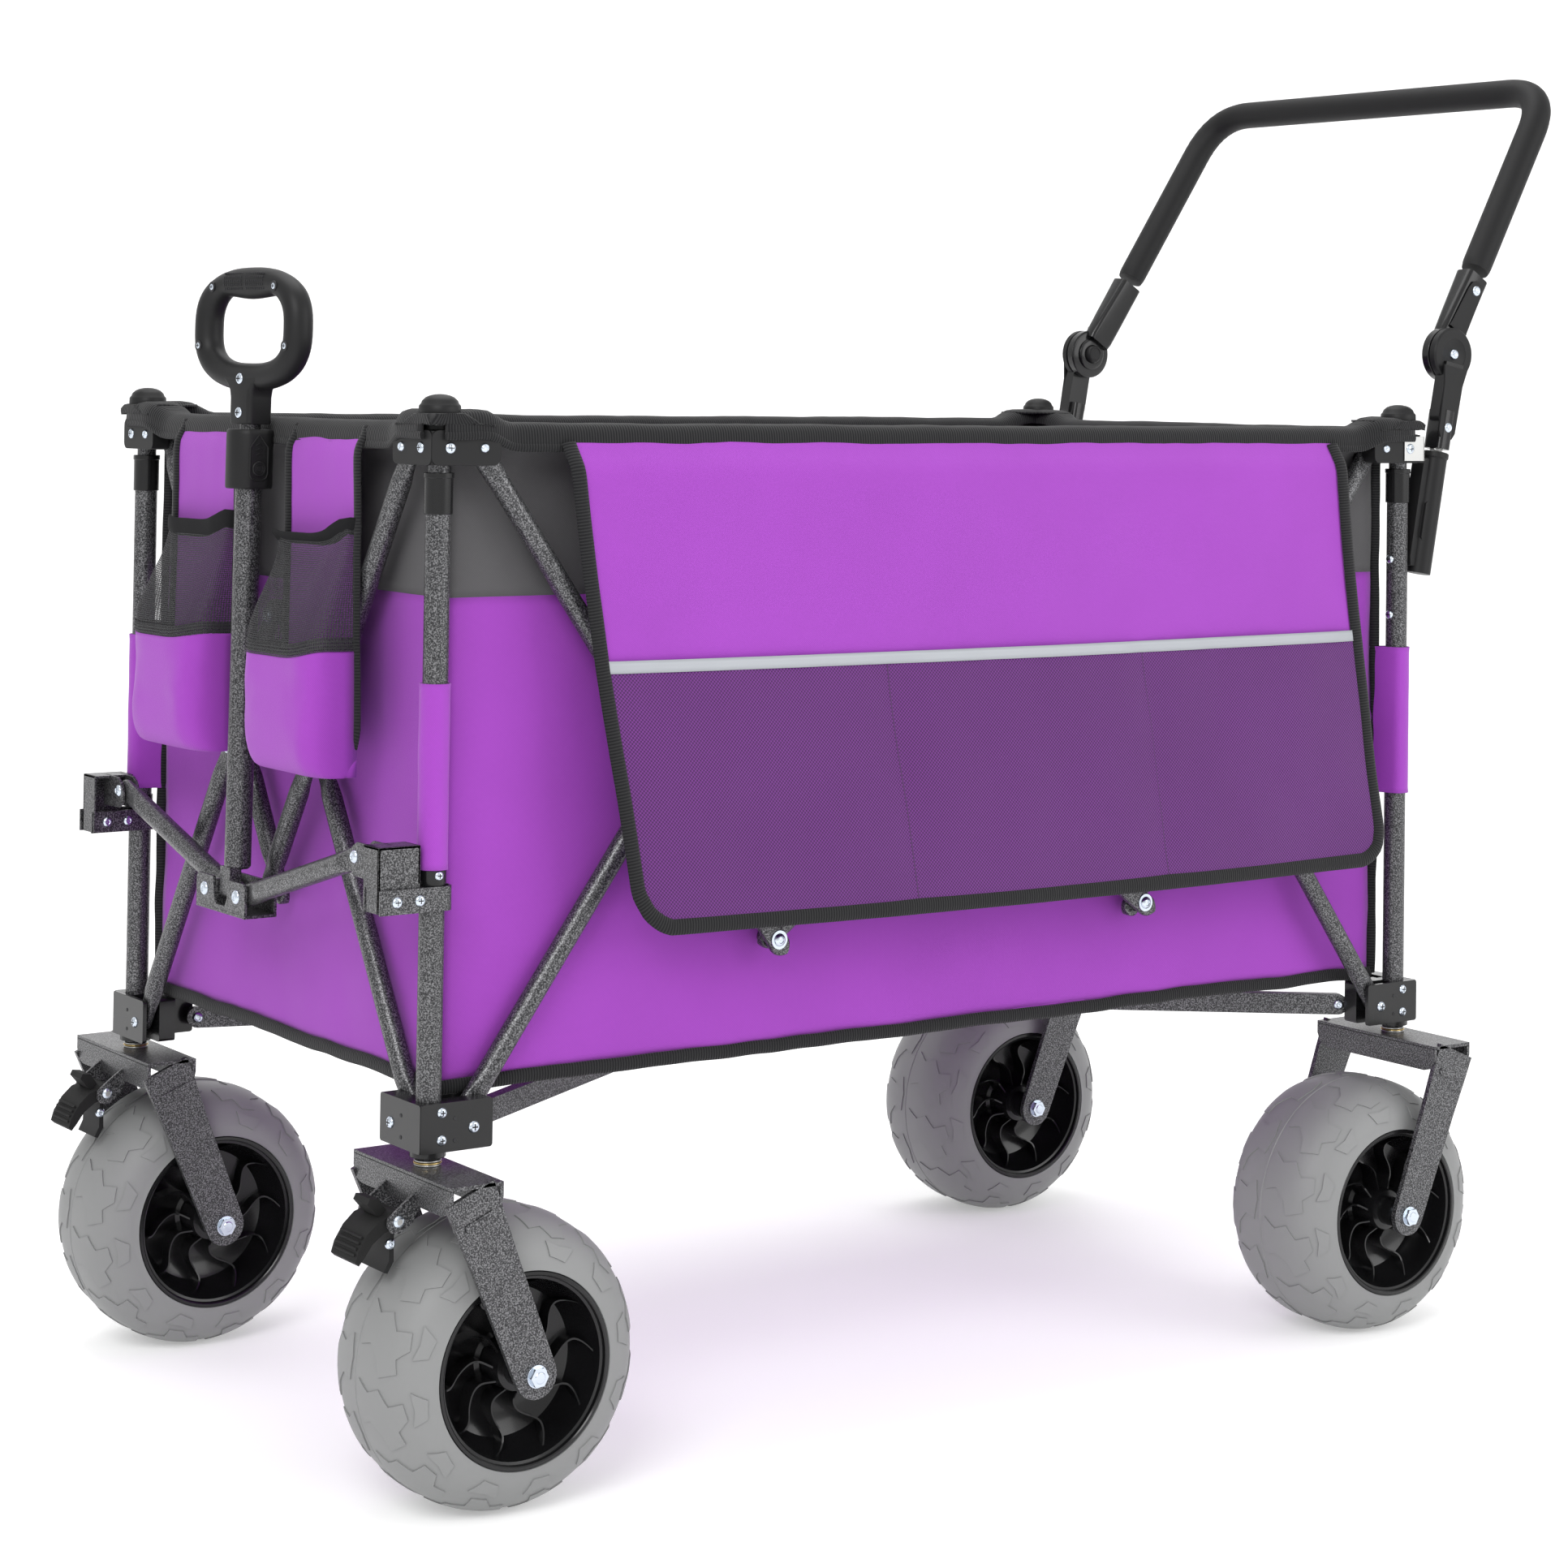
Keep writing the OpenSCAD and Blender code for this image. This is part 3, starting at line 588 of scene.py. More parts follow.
for c, (sx, sy) in CORNERS.items():
    g = corner(c)
    fb, ub = f"frame_{c}", f"upper_{c}"
    outx, outy = arr((sx, 0, 0)), arr((0, sy, 0))
    # lower leg
    p = Part(f"leg_{c}_tube", fb, "hammertone", (f"leg_{c}",), bevel=0)
    p.add(pipe(g(0, 0, 242), g(0, 0, 716), 9.5, 8.1, 36), "hammer")
    if c in ("nr", "fr"):
        for z in (662, 612):
            pan_screw(p, g(9, 0, z), arr((-sx, 0, 0)), 4, 2.4)
            pan_screw(p, g(-9, 0, z), arr((sx, 0, 0)), 3.4, 1.6)
    p.done()
    # lower bracket, black sleeve
    p = Part(f"corner_{c}_bracket", fb, "black_plastic", (f"corner_{c}",), bevel=.8)
    bracket(p, c, 248, 284, 46, "gloss", True)
    pan_screw(p, g(PIV, -15, 264), outy, 4.6, 2.2)
    pan_screw(p, g(-15, PIV, 264), outx, 4.6, 2.2)
    for z in (257, 277):
        pan_screw(p, g(3, -15, z), outy, 4, 2)
        if sx > 0:
            pan_screw(p, g(-15, 3, z), outx, 4, 2)
    # thin near-black discs: painted shade of small holes in the moulding
    for u, w, d in ((14, -15.05, outy), (-15.05, 14, outx)):
        for z in (272, 256):
            p.add(lathe([(0, 0), (1.5, 0), (1.5, .3), (0, .3)], g(u, w, z), d, 16), "dark")
    p.add(pipe(g(0, 0, 243.5), g(0, 0, 249), 13.5, 9.6), "gloss")
    p.add(pipe(g(0, 0, 713), g(0, 0, 743), 10.8, 8.2, 36), "gloss")
    p.add(pipe(g(0, 0, 739.5), g(0, 0, 743.6), 11.4, 8.2, 36), "gloss")
    if sx < 0:
        p.add(pipe(g(0, 0, 440), g(0, 0, 453), 10.6, 9.4, 32), "gloss")
        pan_screw(p, g(0, -10.2, 449), outy, 3.6, 1.8)
    p.done()
    # inner tube, upper bracket and cap
    p = Part(f"post_{c}_top", ub, "black_plastic", (f"post_{c}",), bevel=.8)
    p.add(cyl(g(0, 0, 560), g(0, 0, 757), 8, 32), "hammer")
    bracket(p, c, 749, 775, 44, "black", False)
    pan_screw(p, g(1, -15, 762), outy, 4.4, 2.0)
    rivet(p, g(PIV, -15, 762), outy, 3.8, 2.4)
    pan_screw(p, g(-15, 1, 762), outx, 4.4, 2.0)
    rivet(p, g(-15, PIV, 762), outx, 3.8, 2.4)
    cap = [(0, 0), (12, 0), (12, 10), (15.2, 10.4), (15.8, 11.4), (15.6, 17.5), (14.9, 18.6), (14.2, 19.2),
           (13.2, 21.6), (10.6, 24), (7.4, 25.4), (3.6, 26.2), (0, 26.4)]
    p.add(lathe(cap, g(0, 0, 775), (0, 0, 1), 40), "black")
    if c in ("nr", "fr"):
        # bright clip that holds the push post
        p.add(cbox(c, -16.6, 8, -16.4, -15, 751, 773), "steel")
        p.add(cbox(c, -17, -15.4, -16.4, 6, 751, 773), "steel")
        pan_screw(p, g(1, -16.3, 762), outy, 4.6, 2.0)
    p.done()

# leg clamps for the pull arms ride with the legs
for c in ("nf", "ff"):
    g = corner(c)
    sy = CORNERS[c][1]
    front = -35 if sy > 0 else -47
    p = Part(f"leg_{c}_clamp", f"frame_{c}", "hammertone", bevel=.9)
    wrap = fillet([(-50, -12, 0), (10, -12, 0), (13, 0, 0), (10, 12, 0), (-50, 12, 0)], 11.5)
    band = [g(q[0], q[1], 432.5) for q in wrap]
    p.add(sweep(resample(band, 3), [(-1, -9), (1, -9), (1, 9), (-1, 9)]), "hammer")
    # housing: front wall, outer wall, lid
    p.add(cbox(c, -49, -47.2, -8, 15, 424, 472), "hammer")
    p.add(cbox(c, -49, -14.5, -8, -6, 424, 472), "hammer")
    p.add(cbox(c, -49, -14.5, -8, 16, 470, 472), "hammer")
    p.add(cbox(c, -16.4, -14.6, -8, 15, 444, 472), "hammer")
    for x in (front, front + 13.6):
        q = [(3, 446), (3, 472), (30, 472), (37, 468), (41, 461), (41, 452), (34, 447)]
        p.add(prism(q, x, x + 2.2, lambda a, b, t: g(t, a, b)), "hammer")
    rivet(p, g(front, 33, 461), (-1, 0, 0), 5, 2.4)
    rivet(p, g(front + 15.8, 33, 461), (1, 0, 0), 5, 2.4)
    for u in (-36, -17):
        pan_screw(p, g(u, -13, 432.5), (0, sy, 0), 4.2, 2)
        rivet(p, g(u, 13, 432.5), (0, -sy, 0), 4.2, 2)
    p.done()

# floor cross
u2 = unit((LX, LY, 0))
for c, (sx, sy) in CORNERS.items():
    a = arr((sx * (LX - 52 * u2[0]), sy * (LY - 52 * u2[1]), 262.))
    b = arr((sx * 66 * u2[0], sy * 66 * u2[1], 276.))
    d = unit(b - a)
    L = np.linalg.norm(b - a)
    side = unit(np.cross((0, 0, 1), d))
    up = np.cross(d, side)
    p = Part(f"floor_bar_{c}_tube", f"floor_bar_{c}", "hammertone", (f"floor_bar_{c}",), bevel=1.4)
    out = [(-9, 0), *((-9 * cos(t), 9 * sin(t)) for t in np.linspace(.2, pi / 2, 5)),
           *((L + 9 * cos(t), 9 * sin(t)) for t in np.linspace(pi / 2, -pi / 2, 11)),
           *((-9 * cos(t), -9 * sin(t)) for t in np.linspace(pi / 2, .2, 5))]
    p.add(prism(out, -5, 5, lambda x, z, t: a + d * x + up * z + side * t), "hammer")
    for s in (0, L):
        rivet(p, a + d * s + side * 5, side, 4.6, 2)
        rivet(p, a + d * s - side * 5, -side, 4.6, 2)
    p.done()
p = Part("floor_hub_disc", "floor_hub", "black_plastic", ("floor_hub",), bevel=.6)
disc = [(0, 0), (82, 0), (84, 1), (84, 3), (80, 4), (74, 4), (73, 3.2), (0, 3.2)]
p.add(lathe(disc, (0, 0, 286.5), (0, 0, 1), 64), "black")
for i in range(4):
    o = (52 * cos(pi / 2 * i), 52 * sin(pi / 2 * i), 284.6)
    p.add(lathe([(9, 0), (12, 0), (12, 2), (9, 2)], o, (0, 0, 1), 32, ring=True), "black")
p.done()


# ---------------------------------------------------------------- casters
def tyre_r(u):
    return 66 + (WR - 66) * max(0, 1 - abs(u) ** 2.8) ** (1 / 2.1)


us = np.linspace(0, .9985, 400)
arc = np.r_[0, np.cumsum(np.hypot(np.diff([tyre_r(u) for u in us]), np.diff(us * WHW)))]
LUG_A = [(0, 7), (16, 3), (33, 6), (30, 17), (40, 27), (52, 30), (47, 45), (36, 43), (27, 52), (13, 50),
         (16, 38), (4, 30), (8, 18)]
LUG_B = [(4, 56), (20, 58), (34, 55), (30, 66), (12, 68)]


def tyre_point(a, b, lift):
    """a along the tread at full radius, b across from the middle, both mm"""
    u = float(np.interp(abs(b), arc, us)) * (1 if b > 0 else -1)
    r, y = tyre_r(u), u * WHW
    e = 1e-3
    du = (tyre_r(u + e) - tyre_r(u - e), 2 * e * WHW)
    n = unit((du[1], -du[0]))
    if n[0] < 0 and abs(u) < .9:
        n = -n
    return a / WR, r + n[0] * lift, y + n[1] * lift


def lug_patch(poly, a0, side):
    pts = []
    for i, p in enumerate(poly):
        q = poly[(i + 1) % len(poly)]
        n = max(1, int(math.dist(p, q) / 4))
        pts += [(p[0] + (q[0] - p[0]) * k / n, p[1] + (q[1] - p[1]) * k / n) for k in range(n)]
    nb = len(pts)
    ins = [(x, y) for x in np.arange(2, 56, 6.) for y in np.arange(4, 70, 6.)]
    vs = [Vector(q) for q in pts + ins]
    ed = [(i, (i + 1) % nb) for i in range(nb)]
    V, _, F, ov, _, _ = geometry.delaunay_2d_cdt(vs, ed, [], 1, 1e-4)
    out = [tyre_point(a0 + v.x, side * v.y, .95) for v in V]
    out += [tyre_point(a0 + x, side * y, -.4) for x, y in pts]
    n0 = len(V)
    faces = [tuple(f) for f in F]
    loc = {s: i for i, src in enumerate(ov) for s in src if s < nb}
    for s in range(nb):
        t = (s + 1) % nb
        if s in loc and t in loc:
            faces.append((loc[s], loc[t], n0 + t, n0 + s))
    return out, faces


def wheel(c):
    sx, sy = CORNERS[c]
    o = arr((sx * (LX - TRAIL), sy * LY, AXZ))

    def at(th, r, y):
        return o + arr((r * cos(th), y, r * sin(th)))
    p = Part(f"wheel_{c}_tyre", f"wheel_{c}", "tyre", (f"wheel_{c}",), bevel=0)
    prof = [(71.6, -45.), (71.6, -56.)]
    for u in np.sin(np.linspace(-pi / 2 * .975, pi / 2 * .975, 37)):
        prof.append((max(tyre_r(u), 72.2), u * WHW))
    prof += [(71.6, 56.), (71.6, 45.)]
    # faint parting line round the middle
    k = len(prof) // 2
    prof[k:k + 1] = [(WR, -1.1), (WR + .5, -.5), (WR + .5, .5), (WR, 1.1)]
    p.add(lathe(prof, o, (0, 1, 0), 96, ring=True), "tyre")
    pitch = 2 * pi * WR / 12
    for k in range(12):
        for side in (-1, 1):
            for poly in (LUG_A, LUG_B):
                out, faces = lug_patch(poly, k * pitch + (pitch / 2 if side > 0 else 0), side)
                p.add((arr([at(*q) for q in out]), faces), "tyre")
    p.done(angle=32)
    p = Part(f"wheel_{c}_dish", f"wheel_{c}", "black_plastic", bevel=0)
    for s in (-1, 1):
        prof = [(72, 40), (72, 56.6), (71.2, 57.8), (69, 58.2), (68.2, 57.4), (67.6, 54.6), (65.6, 54), (65, 51.4),
                (63.4, 44), (60.5, 34), (55, 26), (46, 22), (34, 20), (22, 20), (18.6, 22), (17.6, 44), (17, 46),
                (12.5, 47), (12, 60.4), (5.2, 60.4), (5.2, 20)]
        p.add(lathe(prof, o, (0, s, 0), 72), "gloss")
        for i in range(10):
            t0 = 2 * pi * i / 10 + (.15 if s > 0 else 0)
            rib = []
            for j in range(21):
                r = 17.5 + 46.5 * j / 20
                th = t0 + s * .2 * sin(2 * pi * .92 * j / 20 + .3)
                top = s * float(np.interp(r, [17, 26, 44, 56, 61, 64], [41, 36, 34, 38, 43, 47.]))
                foot = s * float(np.interp(r, [17, 22, 34, 46, 55, 60.5, 64], [21, 19, 19, 21, 25, 33, 44]))
                w = .95 / r
                rib.append([at(th - w, r, foot), at(th - w * .8, r, top), at(th + w * .8, r, top), at(th + w, r, foot)])
            p.add(loft(rib), "gloss")
    p.done(angle=30)


for c, (sx, sy) in CORNERS.items():
    wheel(c)
    g = corner(c)
    L0 = arr((sx * LX, sy * LY, 0))
    F = lambda x, y, z: L0 + arr((-sx * x, y, z))          # x along the trail
    p = Part(f"fork_{c}_steel", f"fork_{c}", "hammertone", (f"fork_{c}",), bevel=1.1)

    def fbox(x0, x1, y0, y1, z0, z1):
        v, f = box(x0, x1, y0, y1, z0, z1)
        return arr([F(*q) for q in v]), f
    p.add(fbox(-22, 22, -73, 73, 234, 237), "hammer")
    for s in (-1, 1):
        q = [(-73, 235), (73, 235), (73, 226), (69, 217), (60, 214.5), (-60, 214.5), (-69, 217), (-73, 226)]
        x0 = s * 22 - (3 if s > 0 else 0)
        p.add(prism(q, x0, x0 + 3, lambda a, b, t: F(t, a, b)), "hammer")
    dd = unit((TRAIL, 0, AXZ - 218))
    pp = arr((-dd[2], 0, dd[0]))
    top = arr((0, 0, 218.))
    ln = math.hypot(TRAIL, 218 - AXZ)
    flank = ((-14, 21), (6, 20.5), (40, 18.8), (ln, 17))
    out = [*flank, *((ln + 17 * sin(t), 17 * cos(t)) for t in np.linspace(0, pi, 13)[1:-1]),
           *((q, -h) for q, h in flank[::-1])]
    out = [tuple((top + dd * q + pp * h)[::2]) for q, h in out]
    for s in (-1, 1):
        y0 = s * 73 - (4.6 if s > 0 else 0)
        p.add(prism(out, y0, y0 + 4.6, edge_on(F)), "hammer")
        # pressed bead near the top
        bead = [tuple((top + dd * (8 + y) + pp * x)[::2]) for x, y in round_rect(27, 6, 3)]
        p.add(prism(bead, s * 72.5, s * 74.3, edge_on(F)), "hammer")
        hexbolt(p, F(TRAIL, s * 73, AXZ), (0, s, 0))
        p.add(cyl(F(TRAIL, s * 60, AXZ), F(TRAIL, s * 70, AXZ), 8, 24), "zinc")
    p.add(cyl(F(0, 0, 236), F(0, 0, 292), 7.9, 28), "steel")
    for z0, z1, r, m in ((237, 238.6, 10.2, "steel"), (238.7, 240, 10.6, "brass"),
                         (240.1, 241.6, 10.2, "steel"), (241.6, 244, 9.4, "gloss")):
        p.add(pipe(F(0, 0, z0), F(0, 0, z1), r, 7.8, 32), m)
    if sx < 0:
        # ears that carry the brake lever: rounded lugs with a pin
        for s in (-1, 1):
            q = [(-20, 226), (-30, 219), (-38, 213), (-44, 208), (-45, 202), (-41, 197), (-34, 196),
                 (-24, 203), (-20, 212)]
            y0 = s * 22 - 1.2
            p.add(prism(q, y0, y0 + 2.4, edge_on(F)), "hammer")
    p.done()

for nm, c in (("near", "nf"), ("far", "ff")):
    sy = CORNERS[c][1]
    B = lambda x, y, z: arr((-LX - 36 + x, sy * LY + y, 205 + z))
    D = lambda x, y, z: B(.86 * x - .31 * z, y, .31 * x + .94 * z)          # pedal, turned down
    p = Part(f"brake_{nm}_lever", f"brake_{nm}", "black_plastic", (f"brake_{nm}",), bevel=1.)
    p.add(cyl(B(0, -25.5, 0), B(0, 25.5, 0), 3, 20), "steel")
    p.add(cyl(B(0, -19, 0), B(0, 19, 0), 7.4, 28), "rubber")
    for s in (-1, 1):
        rivet(p, B(0, s * 23.6, 0), (0, s, 0), 4.6, 2)
    # foot pad: curved plate with cross ribs
    prof = [(-4, 5), (-14, 5.5), (-26, 1), (-37, -7), (-42.5, -14), (-40.5, -17.5), (-34, -14), (-24, -7.5),
            (-12, -4.5), (-4, -5)]
    p.add(prism(prof, -19, 19, edge_on(D)), "rubber")
    for x, z in ((-30, -.6), (-33.5, -3.3), (-37, -6.3), (-39.8, -9.7)):
        p.add(cyl(D(x, -16, z), D(x, 16, z), 1.1, 10, .2), "rubber")
    # release tab above and brake shoe below
    p.add(prism([(-2, 4), (-10, 15), (-17, 16), (-19, 12), (-12, 4), (-6, -2)], -11, 11, edge_on(B)), "rubber")
    p.add(prism([(-3.2, -3), (-.2, -3), (0, -30), (-5, -38), (-8, -37), (-4, -29)], -17, 17, edge_on(B)), "black")
    for s in (-1, 1):
        rivet(p, B(-3, s * 17, -17), (0, s, 0), 4, 1.8)
    p.done()

# ---------------------------------------------------------------- pull handle
YX, YZ, TILT = -528.5, 405.5, -534.
aa = math.atan2(55.5, 194)
alen = math.hypot(194, 55.5)
for nm, sy, x in (("near", -1, -535.), ("far", 1, -523.)):
    bar(f"pull_arm_{nm}", (x, sy * 222, 461), (0, -sy * cos(aa), -sin(aa)), (-1, 0, 0), alen,
        [0, alen], True, kind="tube", tail=8.8, half=8.2, skip=2)
p = Part("pull_yoke_channel", "pull_yoke", "hammertone", ("pull_yoke",), bevel=.7)
for x in (-543, -517.4):
    q = [(-43, YZ - 13), (-43, YZ + 8), (-40, YZ + 11.5), (40, YZ + 11.5), (43, YZ + 8), (43, YZ - 13)]
    if x < -530:
        q[3:3] = [(-13, YZ + 11.5), (-11.6, YZ - 3), (-8, YZ - 9.6), (8, YZ - 9.6), (11.6, YZ - 3), (13, YZ + 11.5)]
    p.add(prism(q, x, x + 2.5, lambda a, b, t: arr((t, a, b))), "hammer")
p.add(box(-543, -514.9, -43, 43, YZ - 15.5, YZ - 13), "hammer")
for y in (-28, 28):
    p.add(cyl((-543, y, YZ), (-515 if y < 0 else -529, y, YZ), 3, 16), "steel")
    rivet(p, (-543, y, YZ), (-1, 0, 0), 5.6, 2.2)
    rivet(p, (-515, y, YZ), (1, 0, 0), 5.2, 2)
for y in (-15, 12):
    p.add(box(-540.5, -529.6, y, y + 3, YZ - 13.5, YZ + 9), "hammer")
p.done()

lean = math.radians(.7)
ex, ez = arr((cos(lean), 0, -sin(lean))), arr((sin(lean), 0, cos(lean)))
H = lambda x, y, z: arr((YX, 0, YZ)) + ex * x + arr((0, y, 0)) + ez * z
p = Part("pull_tube_outer", "pull_tube", "hammertone", ("pull_tube",), bevel=0)
shell = [(0, 18.2), (9, 18.2), (10.5, 20), (10.5, 322), (8.4, 322), (8.4, 40), (0, 40)]
p.add(lathe(shell, H(0, 0, 0), ez, 40), "hammer")
foot = [(TILT + 5 * cos(t), YZ + 5 * sin(t)) for t in np.linspace(0, -pi, 9)]
foot = [(TILT + 5, YZ + 20), *foot, (TILT - 5, YZ + 20)]
p.add(prism(foot, -8.6, 8.6, edge_on(lambda *q: arr(q))), "hammer")
p.add(cyl((TILT, -15.5, YZ), (TILT, 15.5, YZ), 3, 16), "steel")
p.done()
p = Part("pull_tube_collar", "pull_tube", "black_plastic", bevel=0)


def collar_ring(z, k):
    """round body with a flat raised pad towards the near side, scaled by k"""
    out = []
    for i in range(48):
        a = 2 * pi * i / 48
        x, y = 18.6 * k * cos(a), 18.6 * k * sin(a)
        out.append(H(max(min(x, 16.2 * k), -18.4 * k), max(y, -17 * k), z))
    return out


rings = [(318, .93), (318.8, .985), (320, 1), (361, 1), (363.6, .985), (365, .93)]
p.add(loft([collar_ring(z, k) for z, k in rings]), "black")
# arrow-topped frame round the button
fr = [(-7.6, 330), (-6.4, 326.6), (-3, 325), (3, 325), (6.4, 326.6), (7.6, 330), (7.6, 351), (0, 361),
      (-7.6, 351)]
pth = [H(a, -17.1, b) for a, b in fr + fr[:1]]
p.add(sweep(resample(pth, 1.5)[:-1], circle(.85, 8), closed=True), "black")
for k in range(3):
    z = 346 + 4 * k
    p.add(sweep([H(-2.6, -17.1, z - 1.6), H(0, -17.3, z), H(2.6, -17.1, z - 1.6)], circle(.45, 6)), "black")
p.done()
p = Part("pull_button_cap", "pull_button", "black_plastic", ("pull_button",), bevel=0)
press = [(0, 0), (6, 0), (6, 4.6), (5.4, 5.2), (4.6, 5.2), (4.2, 4.7), (3.8, 5.2), (3, 5.2), (2.6, 4.7), (2.2, 5.2),
         (0, 5.3)]
p.add(lathe(press, H(0, -13.6, 334), (0, -1, 0), 36), "black")
p.done()

p = Part("pull_grip_body", "pull_grip", "black_plastic", ("pull_grip",), bevel=0)
p.add(cyl(H(0, 0, 30), H(0, 0, 378), 8.15, 32), "hammer")
# the moulding is turned a little on its tube
PHI = math.radians(8)
G = lambda x, y, z: H(x * cos(PHI) - y * sin(PHI), x * sin(PHI) + y * cos(PHI), z)
gx = G(1, 0, 0) - G(0, 0, 0)
# ring: loop of varying section
loop, secs = [], []
N = 84
for i in range(N):
    t = 2 * pi * i / N
    cy, cz = cos(t), sin(t)
    loop.append((62 * math.copysign(abs(cy) ** .78, cy),
                 445 + (39 if cz > 0 else 38.5) * math.copysign(abs(cz) ** .72, cz)))
loop = arr(loop)
for i in range(N):
    y, z = loop[i]
    topness = smooth(466, 482, z)
    w = 10.9 - 1.2 * topness                                   # half width in the ring's plane
    d = 11.8 - .6 * topness
    sag = 6 * topness * max(0, 1 - (y / 36) ** 2)
    t = loop[(i + 1) % N] - loop[i - 1]
    nrm = unit((t[1], -t[0]))
    ring = []
    for k in range(24):
        a = 2 * pi * k / 24
        q = w * cos(a)
        if q < 0:
            q -= sag * abs(cos(a))
        ring.append(G(d * sin(a), y + nrm[0] * q, z + nrm[1] * q))
    secs.append(ring)
p.add(loft(secs, closed=True), "black")
# neck, waisted into the ring
neck = ((369, 13.8, 11.0), (370, 14.4, 11.6), (390, 14.4, 11.6), (396, 15.4, 11.8), (401, 19, 11.8),
        (406, 26, 11.6), (411, 34, 10.4), (414, 37, 8))
p.add(loft([[G(x, y, z) for y, x in round_rect(2 * hy, 2 * hx, 4.5)] for z, hy, hx in neck]), "black")
# near-black discs under the screws: painted shade of the pockets they sit in
for y, z in ((-43, 478), (43, 478), (-60, 431), (60, 431)):
    p.add(lathe([(0, 0), (4.2, 0), (4.2, .6), (0, .6)], G(-11.3, y, z), -gx, 24), "dark")
    pan_screw(p, G(-11.5, y, z), -gx, 2.7, .8)
for z in (378, 405):
    pan_screw(p, G(-11.6, 0, z), -gx, 4.4, 1.5)
# dotted pads on the top bar
for k in (-1, 1):
    for i in range(9):
        for j in range(5):
            y, z = k * (3.2 + 2.9 * i), 476.5 + 3 * j
            x = -11.2 * math.sqrt(max(.1, 1 - ((z - 482.5) / 12.) ** 2))
            p.add(lathe([(0, -.4), (1.05, -.4), (.9, .5), (0, .8)], G(x, y, z), -gx, 8), "dark")
p.done()

# ---------------------------------------------------------------- push handle
HX, HZ = 558., 848.
a0, a1 = arr((HX, -247, HZ)), arr((HX + 132.5, -233.7, HZ + 211.7))
cn = arr((HX + 159, -231, HZ + 254))
mir = lambda q: arr((q[0], -q[1], q[2]))
p = Part("push_bar_foam", "push_bar", "foam_grip", ("push_bar",), bevel=0)
ctrl = [a0 + .31 * (cn - a0), cn, mir(cn), mir(a0 + .31 * (cn - a0))]
path = resample(fillet(ctrl, 52, 16), 4)
nP = len(path)


def foam_r(i):
    s = min(i, nP - 1 - i) * 4.
    r = 13.6
    if s < 5:
        r = 12.6 + .2 * s
    if i > nP / 2:                                             # creases inside the far bend
        r += .5 * sin(s * .75) * math.exp(-((s - 178) / 17) ** 2)
    return circle(r, 24)


